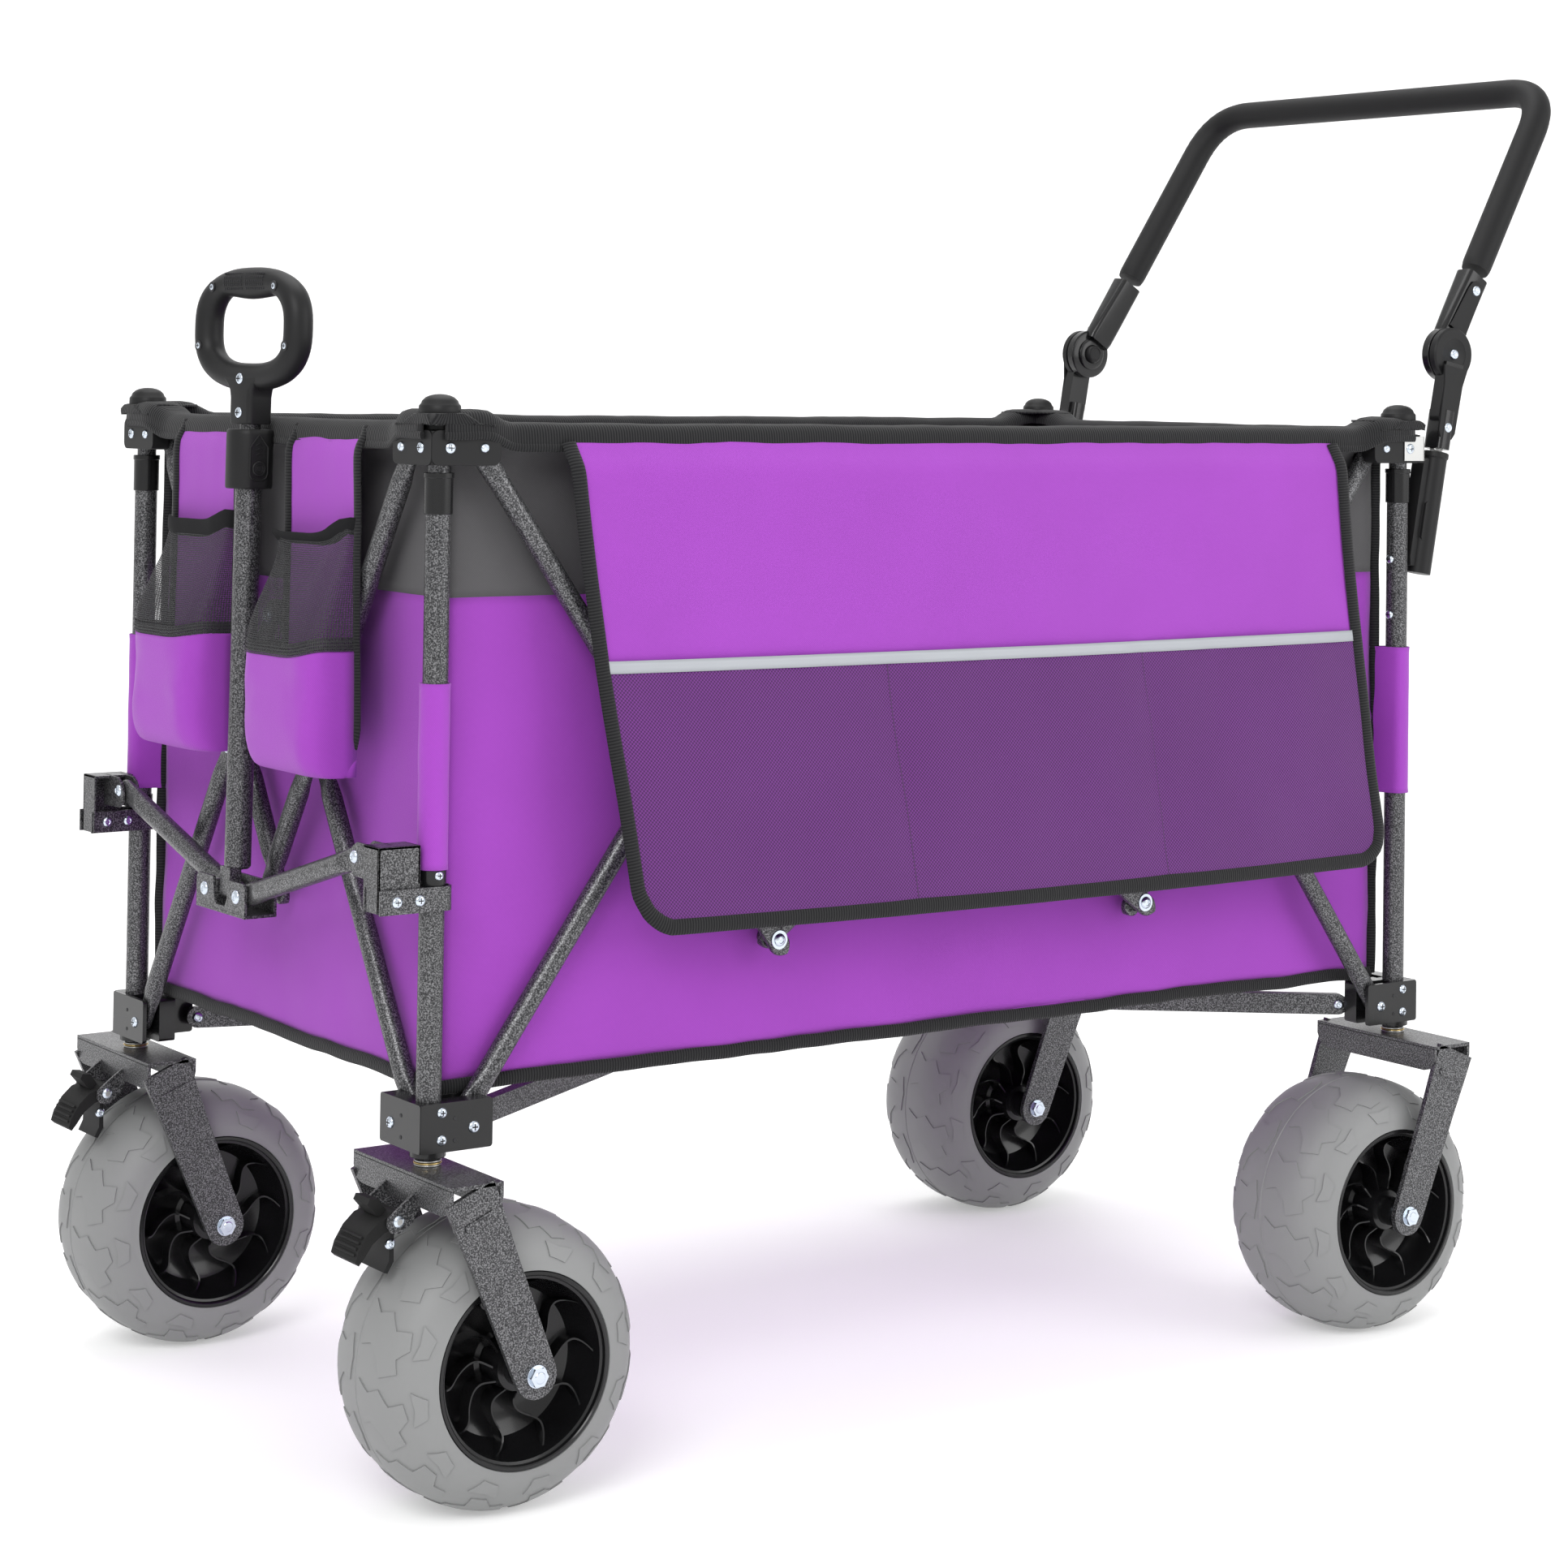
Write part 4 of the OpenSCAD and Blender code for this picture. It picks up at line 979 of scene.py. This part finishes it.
p.add(sweep(path, foam_r), "foam")
p.done(angle=60)
for s, nm in ((1, "near"), (-1, "far")):
    T = (lambda q: arr(q)) if s > 0 else mir
    p = Part(f"push_bar_arm_{nm}", "push_bar", "black_plastic", bevel=.8)
    d = unit(a1 - a0)
    out = (0, -1, 0)
    sd = unit(np.cross(d, out))
    nn = np.cross(sd, d)
    # sleeve, wider at the bottom
    rows = []
    for q, hw, ht in ((14, 14, 7), (20, 15, 7.4), (42, 14.6, 8.4), (68, 13.8, 9.6), (86, 13.4, 10.4)):
        c0 = a0 + d * q
        rows.append([T(c0 + sd * x + nn * y) for x, y in round_rect(2 * hw, 2 * ht, 5)])
    p.add(loft(rows), "gloss")
    # hinge half with a hole for the release button
    c0 = T((HX, -246, HZ))
    ax = T((0, -1, 0))
    disc = [(9.3, 0), (22.4, 0), (24.4, 1.2), (24.4, 8.2), (23.8, 8.8), (9.3, 8.8)]
    p.add(lathe(disc, c0, ax, 48, ring=True), "gloss")
    p.add(lathe([(9.3, -3), (14.6, -3), (16, -2), (16, 1), (9.3, 1)], c0, ax, 36, ring=True), "gloss")
    # bright-edged plate from the hinge up the outside of the sleeve
    edge = [(25, 11.5), (30, 10.6), (68, 8.6), (76, 7), (79, 3)]
    dz = unit((d[0], 0, d[2]))
    dx = arr((dz[2], 0, -dz[0]))
    p.add(prism(edge + [(q, -w) for q, w in edge[::-1]], 0, 1.8,
                lambda x, y, t: T(arr((HX, -254.4 + .012 * x - t, HZ)) + dz * x + dx * y)), "black")
    rivet(p, T(arr((HX, -255.4, HZ)) + dz * 70), T((0, -1, 0)), 4.8, 2.4)
    p.done()
    p = Part(f"push_button_{nm}_cap", f"push_button_{nm}", "black_plastic", (f"push_button_{nm}",), bevel=0)
    cap = [(0, 0), (8.9, 0), (8.9, 6.4), (8, 7.6), (6.6, 8), (6, 7.4), (0, 7.2)]
    p.add(lathe(cap, T((HX, -246, HZ)), T((0, 1, 0)), 36), "black")
    p.done()
    # fixed post behind the leg
    p = Part(f"push_post_{nm}", "frame_nr", "black_plastic", ("push_posts",) if s > 0 else (), bevel=.9)
    pl0 = math.radians(10.9)
    px, pz = arr((cos(pl0), 0, -sin(pl0))), arr((sin(pl0), 0, cos(pl0)))
    O = arr((HX, -LY - 5.5, HZ))
    W = lambda x, y, z: T(O + px * x + arr((0, y, 0)) + pz * z)
    disc = [(0, 0), (21, 0), (24.4, .8), (24.4, 6.4), (23, 8), (15, 8.2), (14.2, 7.6), (0, 7.6)]
    p.add(lathe(disc, T((HX, -255.8, HZ)), T((0, -1, 0)), 48), "black")
    rivet(p, T((HX, -263.4, HZ)), T((0, -1, 0)), 5, 3)
    q = [(-11, -8), (-11.6, -58), (-10, -63), (10, -63), (11.6, -58), (11, -8)]
    p.add(prism(q, -6.6, 5.6, edge_on(W)), "gloss")
    q = [(-15, -12), (-11.6, -28), (-10.4, -72), (-7, -78), (7, -78), (10.4, -72), (11.6, -28), (15, -12)]
    p.add(prism(q, -8.6, -6.4, edge_on(W)), "black")
    rivet(p, W(0, -8.6, -68), T((0, -1, 0)), 4.6, 2.4)
    p.add(sweep([W(0, 1.5, z) for z in np.linspace(-52, -88, 5)], round_rect(22, 16, 5)), "gloss")
    # socket tube and its moulded clip
    p.add(sweep([W(0, 2, -88), W(0, 2, -89.5)], circle(6, 24)), "steel")
    tube = [(0, 0), (11.4, 0), (12.2, .8), (12.2, 5), (11.2, 6), (11, 112), (0, 112)]
    p.add(lathe(tube, W(0, 2, -91), -pz, 36), "black")
    q = [(-14, -104), (-10, -99), (4, -99), (4, -198), (-12, -198), (-14, -190)]
    p.add(prism(q, -2, 13, lambda a, b, t: W(a - 3, t, b)), "black")
    q = [(-11, -140), (-8, -135), (-2, -135), (-2, -176), (-8, -176), (-11, -171)]
    p.add(prism(q, -5.5, 0, lambda a, b, t: W(a + 1, t, b)), "black")
    p.done()


# ---------------------------------------------------------------- fabric
def rumple(x, y, z, amp, size=60.):
    fine = Vector((x / size * 2.7, y / size * 2.7 + 9, z / size * 2.7))
    return amp * noise.noise(Vector((x / size, y / size, z / size))) + .4 * amp * noise.noise(fine)


SIDES = (("near", -1, "upper_nf"), ("far", 1, "upper_ff"))
ENDS = (("front", -1, "upper_nf"), ("rear", 1, "upper_nr"))
BAND = (650 - FLOOR) / (RIM - FLOOR)       # where the walls turn from purple to grey
WALLS, TAPES, FLAPS, CUPS, SLEEVES = {}, {}, {}, [], []


def flare(z):
    return float(smooth(748, 776, z))


def wall_y(u, v, x, z, sy):
    """long wall: drawn in a little half way up, flared over the bars at the top"""
    y = TY - 5 * sin(pi * u) * sin(pi * v) + rumple(x, 300 * sy, z, 1.6, 110)
    return sy * min(y + 14 * flare(z), 240.5 + 14 * flare(z))


def bands(fn, nu, nv=60):
    for v0, v1, mat in ((0, BAND, "purple"), (BAND, 1, "grey")):
        yield grid(lambda u, v: fn(u, v0 + (v1 - v0) * v), nu, max(2, int(nv * (v1 - v0)))), mat


for nm, sy, ub in SIDES:
    def fn(u, v):
        x, z = -TX + 2 * TX * u, FLOOR + (RIM - FLOOR) * v
        return x, wall_y(u, v, x, z, sy), z
    WALLS[nm] = cloth_part(f"tub_wall_{nm}", ub, bands(fn, 90), "x", 1.4, ("tub",) if sy < 0 else ())
for nm, sx, ub in ENDS:
    def fn(u, v):
        y, z = -TY + 2 * TY * u, FLOOR + (RIM - FLOOR) * v
        x = TX - 4 * sin(pi * u) * sin(pi * v) + rumple(900 * sx, y, z, 1.6, 100) + 13 * flare(z)
        return sx * min(x, 481 + 13 * flare(z)), y, z
    WALLS[nm] = cloth_part(f"tub_wall_{nm}", ub, bands(fn, 60), "y", 1.4)
# floor in two lapping halves
for nm, x0, x1, z, ub in (("front", -TX, 30, 293.2, "upper_nf"), ("rear", -30, TX, 294.8, "upper_nr")):
    def fn(u, v):
        x, y = x0 + (x1 - x0) * u, -TY + 2 * TY * v
        return x, y, z + rumple(x, y, 0, .5, 140)
    WALLS["floor_" + nm] = cloth_part(f"tub_floor_{nm}", ub, [(grid(fn, 44, 40), "purple")], "y", 1.2)
# padded floor mat in four panels
for k, (x0, x1) in enumerate(((-470, -238), (-232, -2), (2, 232), (238, 470))):
    def fn(u, v, top):
        x, y = x0 + (x1 - x0) * u, -230 + 460 * v
        e = min(u, 1 - u) * (x1 - x0), min(v, 1 - v) * 460
        h = (1 - math.exp(-e[0] / 7)) * (1 - math.exp(-e[1] / 7))
        return x, y, 297 + (3 + 7.5 * h if top else 3 - 2.2 * h)
    faces = [(grid(lambda u, v: fn(u, v, top), 26, 44), "inner") for top in (True, False)]
    o = cloth_part(f"mat_panel_{k + 1}", "upper_nf" if k < 2 else "upper_nr", faces, "y")
    o.modifiers.new("weld", "WELD").merge_threshold = .00005


def tape(name, body, path, w, t, up=(0, 0, 1), axis=None, mat="tape"):
    """folded binding swept along an edge"""
    section = circle(t, 10, w) if up == (0, 0, 1) else circle(w, 10, t)
    strip = sweep(resample(path, 5), section, up=up, uv=True)
    return cloth_part(name, body, [(strip, mat)], axis, recalc=True, angle=60)


for nm, sy, ub in SIDES:
    path = [(x, sy * (TY + 2.4 + rumple(x, 0, 9, .8, 90)), 290 + rumple(x, sy * 50, 0, 2.2, 80))
            for x in np.linspace(-TX, TX, 120)]
    TAPES[nm] = tape(f"seam_bottom_{nm}", ub, path, 5.5, 2.6, axis="x")
for nm, sx, ub in ENDS:
    path = [(sx * (TX + 2.4 + rumple(0, y, 9, .8, 90)), y, 290 + rumple(sx * 70, y, 0, 2.2, 80))
            for y in np.linspace(-TY, TY, 80)]
    TAPES[nm] = tape(f"seam_bottom_{nm}", ub, path, 5.5, 2.6, axis="y")
for c, (sx, sy) in CORNERS.items():
    path = [(sx * (TX + 2 + rumple(sx * 90, z, 5, 1.6, 70)), sy * (TY + 2 + rumple(z, sy * 40, 3, 1.6, 60)), z)
            for z in np.linspace(289, 770, 90)]
    tape(f"seam_corner_{c}", f"upper_{c}", path, 4.4, 3.2, up=(sx, -sy, 0))


# rim: wide black band folded over the top, riding up over the brackets
def rim(nm, ub, p_start, p_end, inward, axis):
    a, b = arr(p_start), arr(p_end)
    L = np.linalg.norm(b - a)
    d = (b - a) / L
    inw = arr(inward)
    n = int(L / 8)
    prof = [(20, -11), (19.4, -5), (17, -1), (12, 1.5), (5, 2.2), (-2, 2), (-7, .5), (-9.6, -3), (-10.6, -7.5),
            (-11, -12), (-11, -15)]

    def fn(u, v):
        s = u * L
        k = v * (len(prof) - 1)
        i = min(int(k), len(prof) - 2)
        x, z = (1 - k + i) * arr(prof[i]) + (k - i) * arr(prof[i + 1])
        o = float(smooth(64, 34, min(s, L - s)))
        r = rumple(s, 31 * v, len(nm) * 17, 1.0, 40) + rumple(s, 99, len(nm), 1.6, 130)
        # over the brackets the band lies wider and a little higher
        if x < 0:
            x -= 5.6 * o
        return a + d * s + inw * (x + .5 * r * (v > .5)) + arr((0, 0, 777.5 + z + .6 * r + 9.5 * o))
    o = cloth_part(f"rim_{nm}", ub, [(grid(fn, n, 22), "tape")], axis, 2.0)
    # piping along the outer edge
    q = [fn(u, 1.) + arr((0, 0, -.5)) for u in np.linspace(0, 1, n)]
    return o, tape(f"rim_{nm}_edge", ub, q, 3.4, 1.9, axis=axis)


RIMS = {}
for nm, s, ub in SIDES:
    y = s * (TY + 16)
    RIMS[nm] = rim(nm, ub, (-LX - 4, y, 0), (LX + 4, y, 0), (0, -s, 0), "x")
for nm, s, ub in ENDS:
    x = s * (TX + 16)
    RIMS[nm] = rim(nm, ub, (x, -LY - 4, 0), (x, LY + 4, 0), (-s, 0, 0), "y")
# corner drape: patch over each bracket, under the cap
DRAPE = 16.8
for c, (sx, sy) in CORNERS.items():
    g = corner(c)

    def fn(u, v):
        r, a = 12 + 30 * v, 2 * pi * u
        x, y = max(r * cos(a), -DRAPE), max(r * sin(a), -DRAPE)
        e = max(0, r - 19) if (cos(a) < -.3 or sin(a) < -.3) else 0
        return g(x, y, 786.5 - min(e, 12) * .62 + rumple(x + 50 * sx, y, 7 * sy, .8, 18))
    cloth_part(f"rim_corner_{c}", f"upper_{c}", [(grid(fn, 56, 12), "tape")], thick=1.6)


# side flaps with their mesh pockets
def flap_point(u, v, sy, off=0.):
    """u along the length, v down from the rim"""
    x = -393 + 793 * u + 55 * v ** 1.15 * (1 - .32 * u)
    z = 773 - 371 * v - (3 * sin(pi * u) * v)
    for e, s in ((u, 1), (1 - u, -1)):                       # rounded bottom corners
        if e < .03 and v > .93:
            k = (1 - e / .03) * (v - .93) / .07
            x += s * 7 * k
            z += 7 * k
    y = 277.5 + 20 * v ** 1.6 + 2.5 * sin(pi * u) * sin(pi * v) + rumple(x, sy * 70, z, 2.4, 120) * min(1, 4 * v)
    y -= 13 * (1 - float(smooth(0, .085, v)))
    return arr((x, sy * (y + off), z))


V_STRIP = (773 - 600) / 371
CUTS = (0, (-107 + 393 - 20) / 793, (163 + 393 - 20) / 793, 1)      # seams that divide the pocket
for nm, sy, ub in SIDES:
    def pocket(u, v):
        k = min(abs(u - c0) * 793 for c0 in CUTS)
        puff = 1.6 + 4.2 * (1 - math.exp(-k / 40)) * (sin(pi * min(1, v * .9 + .08)) ** .7)
        return flap_point(u, V_STRIP + (1 - V_STRIP) * v, sy, puff)

    def strip(u, v):
        return pocket(u, (v - .25) * .048) + arr((0, sy * (1.1 + .5 * sin(90 * u) * sin(31 * u)), 0))
    flap = grid(lambda u, v: flap_point(u, v, sy), 110, 60)
    FLAPS[nm] = cloth_part(f"flap_{nm}", ub, [(flap, "purple")], "x", 1.2, ("side_flaps",) if sy < 0 else ())
    bits = [cloth_part(f"flap_pocket_{nm}", ub, [(grid(pocket, 110, 40), "purple2")], "x", 1.0),
            cloth_part(f"flap_strip_{nm}", ub, [(grid(strip, 110, 3), "strip")], "x", .6)]
    for i, c0 in enumerate(CUTS[1:3]):
        q = [pocket(c0, v) + arr((0, sy * .5, 0)) for v in np.linspace(.02, .97, 40)]
        bits.append(cloth_part(f"flap_stitch_{nm}_{i + 1}", ub, [(sweep(q, circle(.45, 6)), "thread")], "x",
                               recalc=True))
    edge = [flap_point(0, v, sy, 2.) for v in np.linspace(.02, .985, 60)]
    edge += [flap_point(u, 1, sy, 2.) for u in np.linspace(.012, .988, 110)]
    edge += [flap_point(1, v, sy, 2.) for v in np.linspace(.985, .02, 60)]
    bits.append(tape(f"flap_binding_{nm}", ub, edge, 6.4, 2.6, up=(0, sy, 0), axis="x"))
    FLAPS[nm + "_bits"] = bits

# cup pockets on the front wall
IN, OUT, HEM = 45., 158., .5
for nm, sy, _ in SIDES:
    def back(u, v):
        y, z = IN + (OUT - IN) * u + 8 * u * v, 776 - 256 * v
        x = -511 + 8 * float(smooth(.92, 1, 1 - v)) + .8 * rumple(y, z, sy * 20, 1., 60)
        for e, s in ((u, 1), (1 - u, -1)):
            if e < .08 and v > .9:
                k = (1 - e / .08) * (v - .9) / .1
                y += s * 8 * k
                z += 8 * k
        return arr((x, sy * y, z))

    def bag(u, v):
        """round the bag from the inner to the outer edge, and from the mouth down"""
        tilt = 9 if sy < 0 else -6
        mouth = 699 + tilt * (2 * u - 1) + 3 * sin(3 * pi * u)
        z = mouth - (mouth - 506) * v
        a = pi * u
        half = (OUT - IN) / 2 + 3 * float(smooth(0, .5, v))
        y = (IN + OUT) / 2 + 3 * v - half * math.copysign(abs(cos(a)) ** .42, cos(a))
        deep = 11 + 32 * float(smooth(0, .5, v)) + rumple(140 * u, z, sy * 60, 3.2, 55)
        if v > .8:
            k = (v - .8) / .2
            z0 = mouth - (mouth - 506) * .8
            z = z0 - (z0 - 504) * sin(min(pi / 2, k * pi * .62)) + 20 * k ** 3
            deep *= cos(pi / 2 * k) ** .7
        return arr((-511.6 - deep * max(0, sin(a)) ** .42, sy * y, z))
    ub = "upper_nf"
    panel = cloth_part(f"cup_panel_{nm}", ub, [(grid(back, 34, 44), "purple")], "y", 1.2,
                       ("cup_pockets",) if sy < 0 else ())
    cup = grid(lambda u, v: bag(u, HEM + (1 - HEM) * v), 72, 34)
    cup = cloth_part(f"cup_bag_{nm}", ub, [(cup, "purple")], "y", 1.2)
    net = grid(lambda u, v: bag(u, .035 + (HEM - .035) * v), 72, 26)
    bits = [cloth_part(f"cup_net_{nm}", ub, [(net, "net")], "y")]
    for kind, v, lift, w, t, mat in (("elastic", .04, -.8, 7.2, 1.3, "elastic"), ("hem", HEM - .02, -.5, 5.2, .9, "net")):
        q = [bag(u, v) + arr((lift, 0, 0)) for u in np.linspace(0, 1, 90)]
        bits.append(tape(f"cup_{kind}_{nm}", ub, q, w, t, up=(-1, 0, 0), axis="y", mat=mat))
    for k, u in enumerate((0., 1.)):
        q = [back(u, v) + arr((-1.4, 0, 0)) for v in np.linspace(0, .97, 50)]
        bits.append(tape(f"cup_binding_{nm}_{k + 1}", ub, q, 4.6, 2.2, up=(-1, 0, 0), axis="y"))
    CUPS.append((nm, panel, cup, bits))

# sleeves that tie the tub to the legs
for c, z0, z1 in (("nf", 453, 589), ("ff", 459, 590), ("nr", 452, 583), ("fr", 452, 583)):
    g = corner(c)
    prof = [(17, 15.5, 0), *((11.4 * cos(a) + .2, 11.4 * sin(a), 0)
                             for a in np.linspace(math.radians(-48), math.radians(-222), 17)), (15.5, 17, 0)]
    prof = resample(prof, 3)

    def fn(u, v):
        k = u * (len(prof) - 1)
        i = min(int(k), len(prof) - 2)
        q = (1 - (k - i)) * prof[i] + (k - i) * prof[i + 1]
        r = 1 + .05 * noise.noise(Vector((u * 4, (z0 + (z1 - z0) * v) / 30, 2 + z0))) * (v * (1 - v) * 4)
        r += .03 * (v > .97) + .03 * (v < .03)
        return g(q[0] * r, q[1] * r, z0 + (z1 - z0) * v)
    SLEEVES.append((c, cloth_part(f"sleeve_{c}", f"frame_{c}", [(grid(fn, 44, 26), "purple")], thick=1.1)))


def extents(o):
    """cut size: edge lengths of the sheet's grid from its uv map"""
    uv = np.zeros(len(o.data.loops) * 2)
    o.data.uv_layers[0].data.foreach_get("uv", uv)
    uv = uv.reshape(-1, 2)
    return uv.max(0) - uv.min(0)


def cloth(o, rests, bits=(), flat=None):
    a = sum(f.area for f in o.data.polygons)
    w, l = map(float, extents(o) if flat is None else flat)
    if not .3 <= a / (w * l) <= 1:
        l = a / w * 1.0005
    list(bits)


for nm, posts, width in (("near", ("nf", "nr"), .96), ("far", ("ff", "fr"), .96),
                         ("front", ("nf", "ff"), .478), ("rear", ("nr", "fr"), .478)):
    cloth(WALLS[nm], [f"post_{c}_top" for c in posts], [*RIMS[nm], TAPES[nm]], flat=(width, .486))
for nm in ("front", "rear"):
    cloth(WALLS["floor_" + nm], ["tub_wall_near"])
for nm in ("near", "far"):
    cloth(FLAPS[nm], [f"rim_{nm}"], FLAPS[nm + "_bits"])
for nm, panel, cup, bits in CUPS:
    cloth(panel, ["rim_front"])
    cloth(cup, [f"cup_panel_{nm}"], bits)
for c, o in SLEEVES:
    cloth(o, [f"leg_{c}_tube"])

# ---------------------------------------------------------------- stage, light, camera
f_dir = arr((.573, .819, 0))
r_dir = arr((.819, -.573, 0))
cove = [(3.2 + 1.6 * sin(a), 1.6 - 1.6 * cos(a)) for a in np.linspace(.1, pi / 2, 12)]
pts = [(-6, 0), (3.2, 0), *cove, (4.8, 6)]
v = [tuple(f_dir * a + r_dir * s + arr((0, 0, z))) for a, z in pts for s in (-9, 9)]
f = [(2 * i, 2 * i + 1, 2 * i + 3, 2 * i + 2) for i in range(len(pts) - 1)]
me = bpy.data.meshes.new("studio_floor")
me.from_pydata(v, [], f)
me.polygons.foreach_set("use_smooth", [True] * len(f))
floor = bpy.data.objects.new("studio_floor", me)
bpy.context.scene.collection.objects.link(floor)
white, _, shader = new_mat("studio_white", (.82, .82, .82), .95, spec=.05)
shader.inputs["Emission Color"].default_value = (1, 1, 1, 1)
shader.inputs["Emission Strength"].default_value = .3
me.materials.append(white)

world = bpy.data.worlds.new("studio")
bpy.context.scene.world = world
world.use_nodes = True
world.node_tree.nodes["Background"].inputs[0].default_value = (1, 1, 1, 1)
world.node_tree.nodes["Background"].inputs[1].default_value = .85


def softbox(name, loc, target, w, h, power):
    l = bpy.data.lights.new(name, "AREA")
    l.shape, l.size, l.size_y, l.energy = "RECTANGLE", w, h, power
    o = bpy.data.objects.new(name, l)
    o.location = loc
    o.rotation_euler = (Vector(target) - Vector(loc)).to_track_quat("-Z", "Y").to_euler()
    bpy.context.scene.collection.objects.link(o)


softbox("key", (-2.6, -2.2, 2.6), (0, 0, .5), 1.6, 1.6, 60)
softbox("fill", (1.8, -3.0, 1.6), (0, 0, .5), 2.2, 1.8, 34)
softbox("top", (0, .4, 3.2), (0, 0, .5), 2.4, 2.0, 40)

sc = bpy.context.scene
cam = bpy.data.cameras.new("camera")
cam.lens, cam.sensor_width = 77.0, 36
cam.shift_x, cam.shift_y = .0102, -.3073
co = bpy.data.objects.new("camera", cam)
bpy.context.scene.collection.objects.link(co)
yaw, pitch, roll = .6103, .0245, .0142
fw = Vector((sin(yaw) * cos(pitch), cos(yaw) * cos(pitch), sin(pitch)))
rt = Vector((cos(yaw), -sin(yaw), 0))
up = rt.cross(fw)
r2 = cos(roll) * rt + sin(roll) * up
u2 = -sin(roll) * rt + cos(roll) * up
mw = Matrix((r2, u2, -fw)).transposed().to_4x4()
mw.translation = Vector(row((-1715.4, -2418.2, 811.9)))
co.matrix_world = mw
sc.camera = co
sc.view_settings.view_transform = "Standard"
sc.view_settings.look = "None"

bpy.context.view_layer.update()
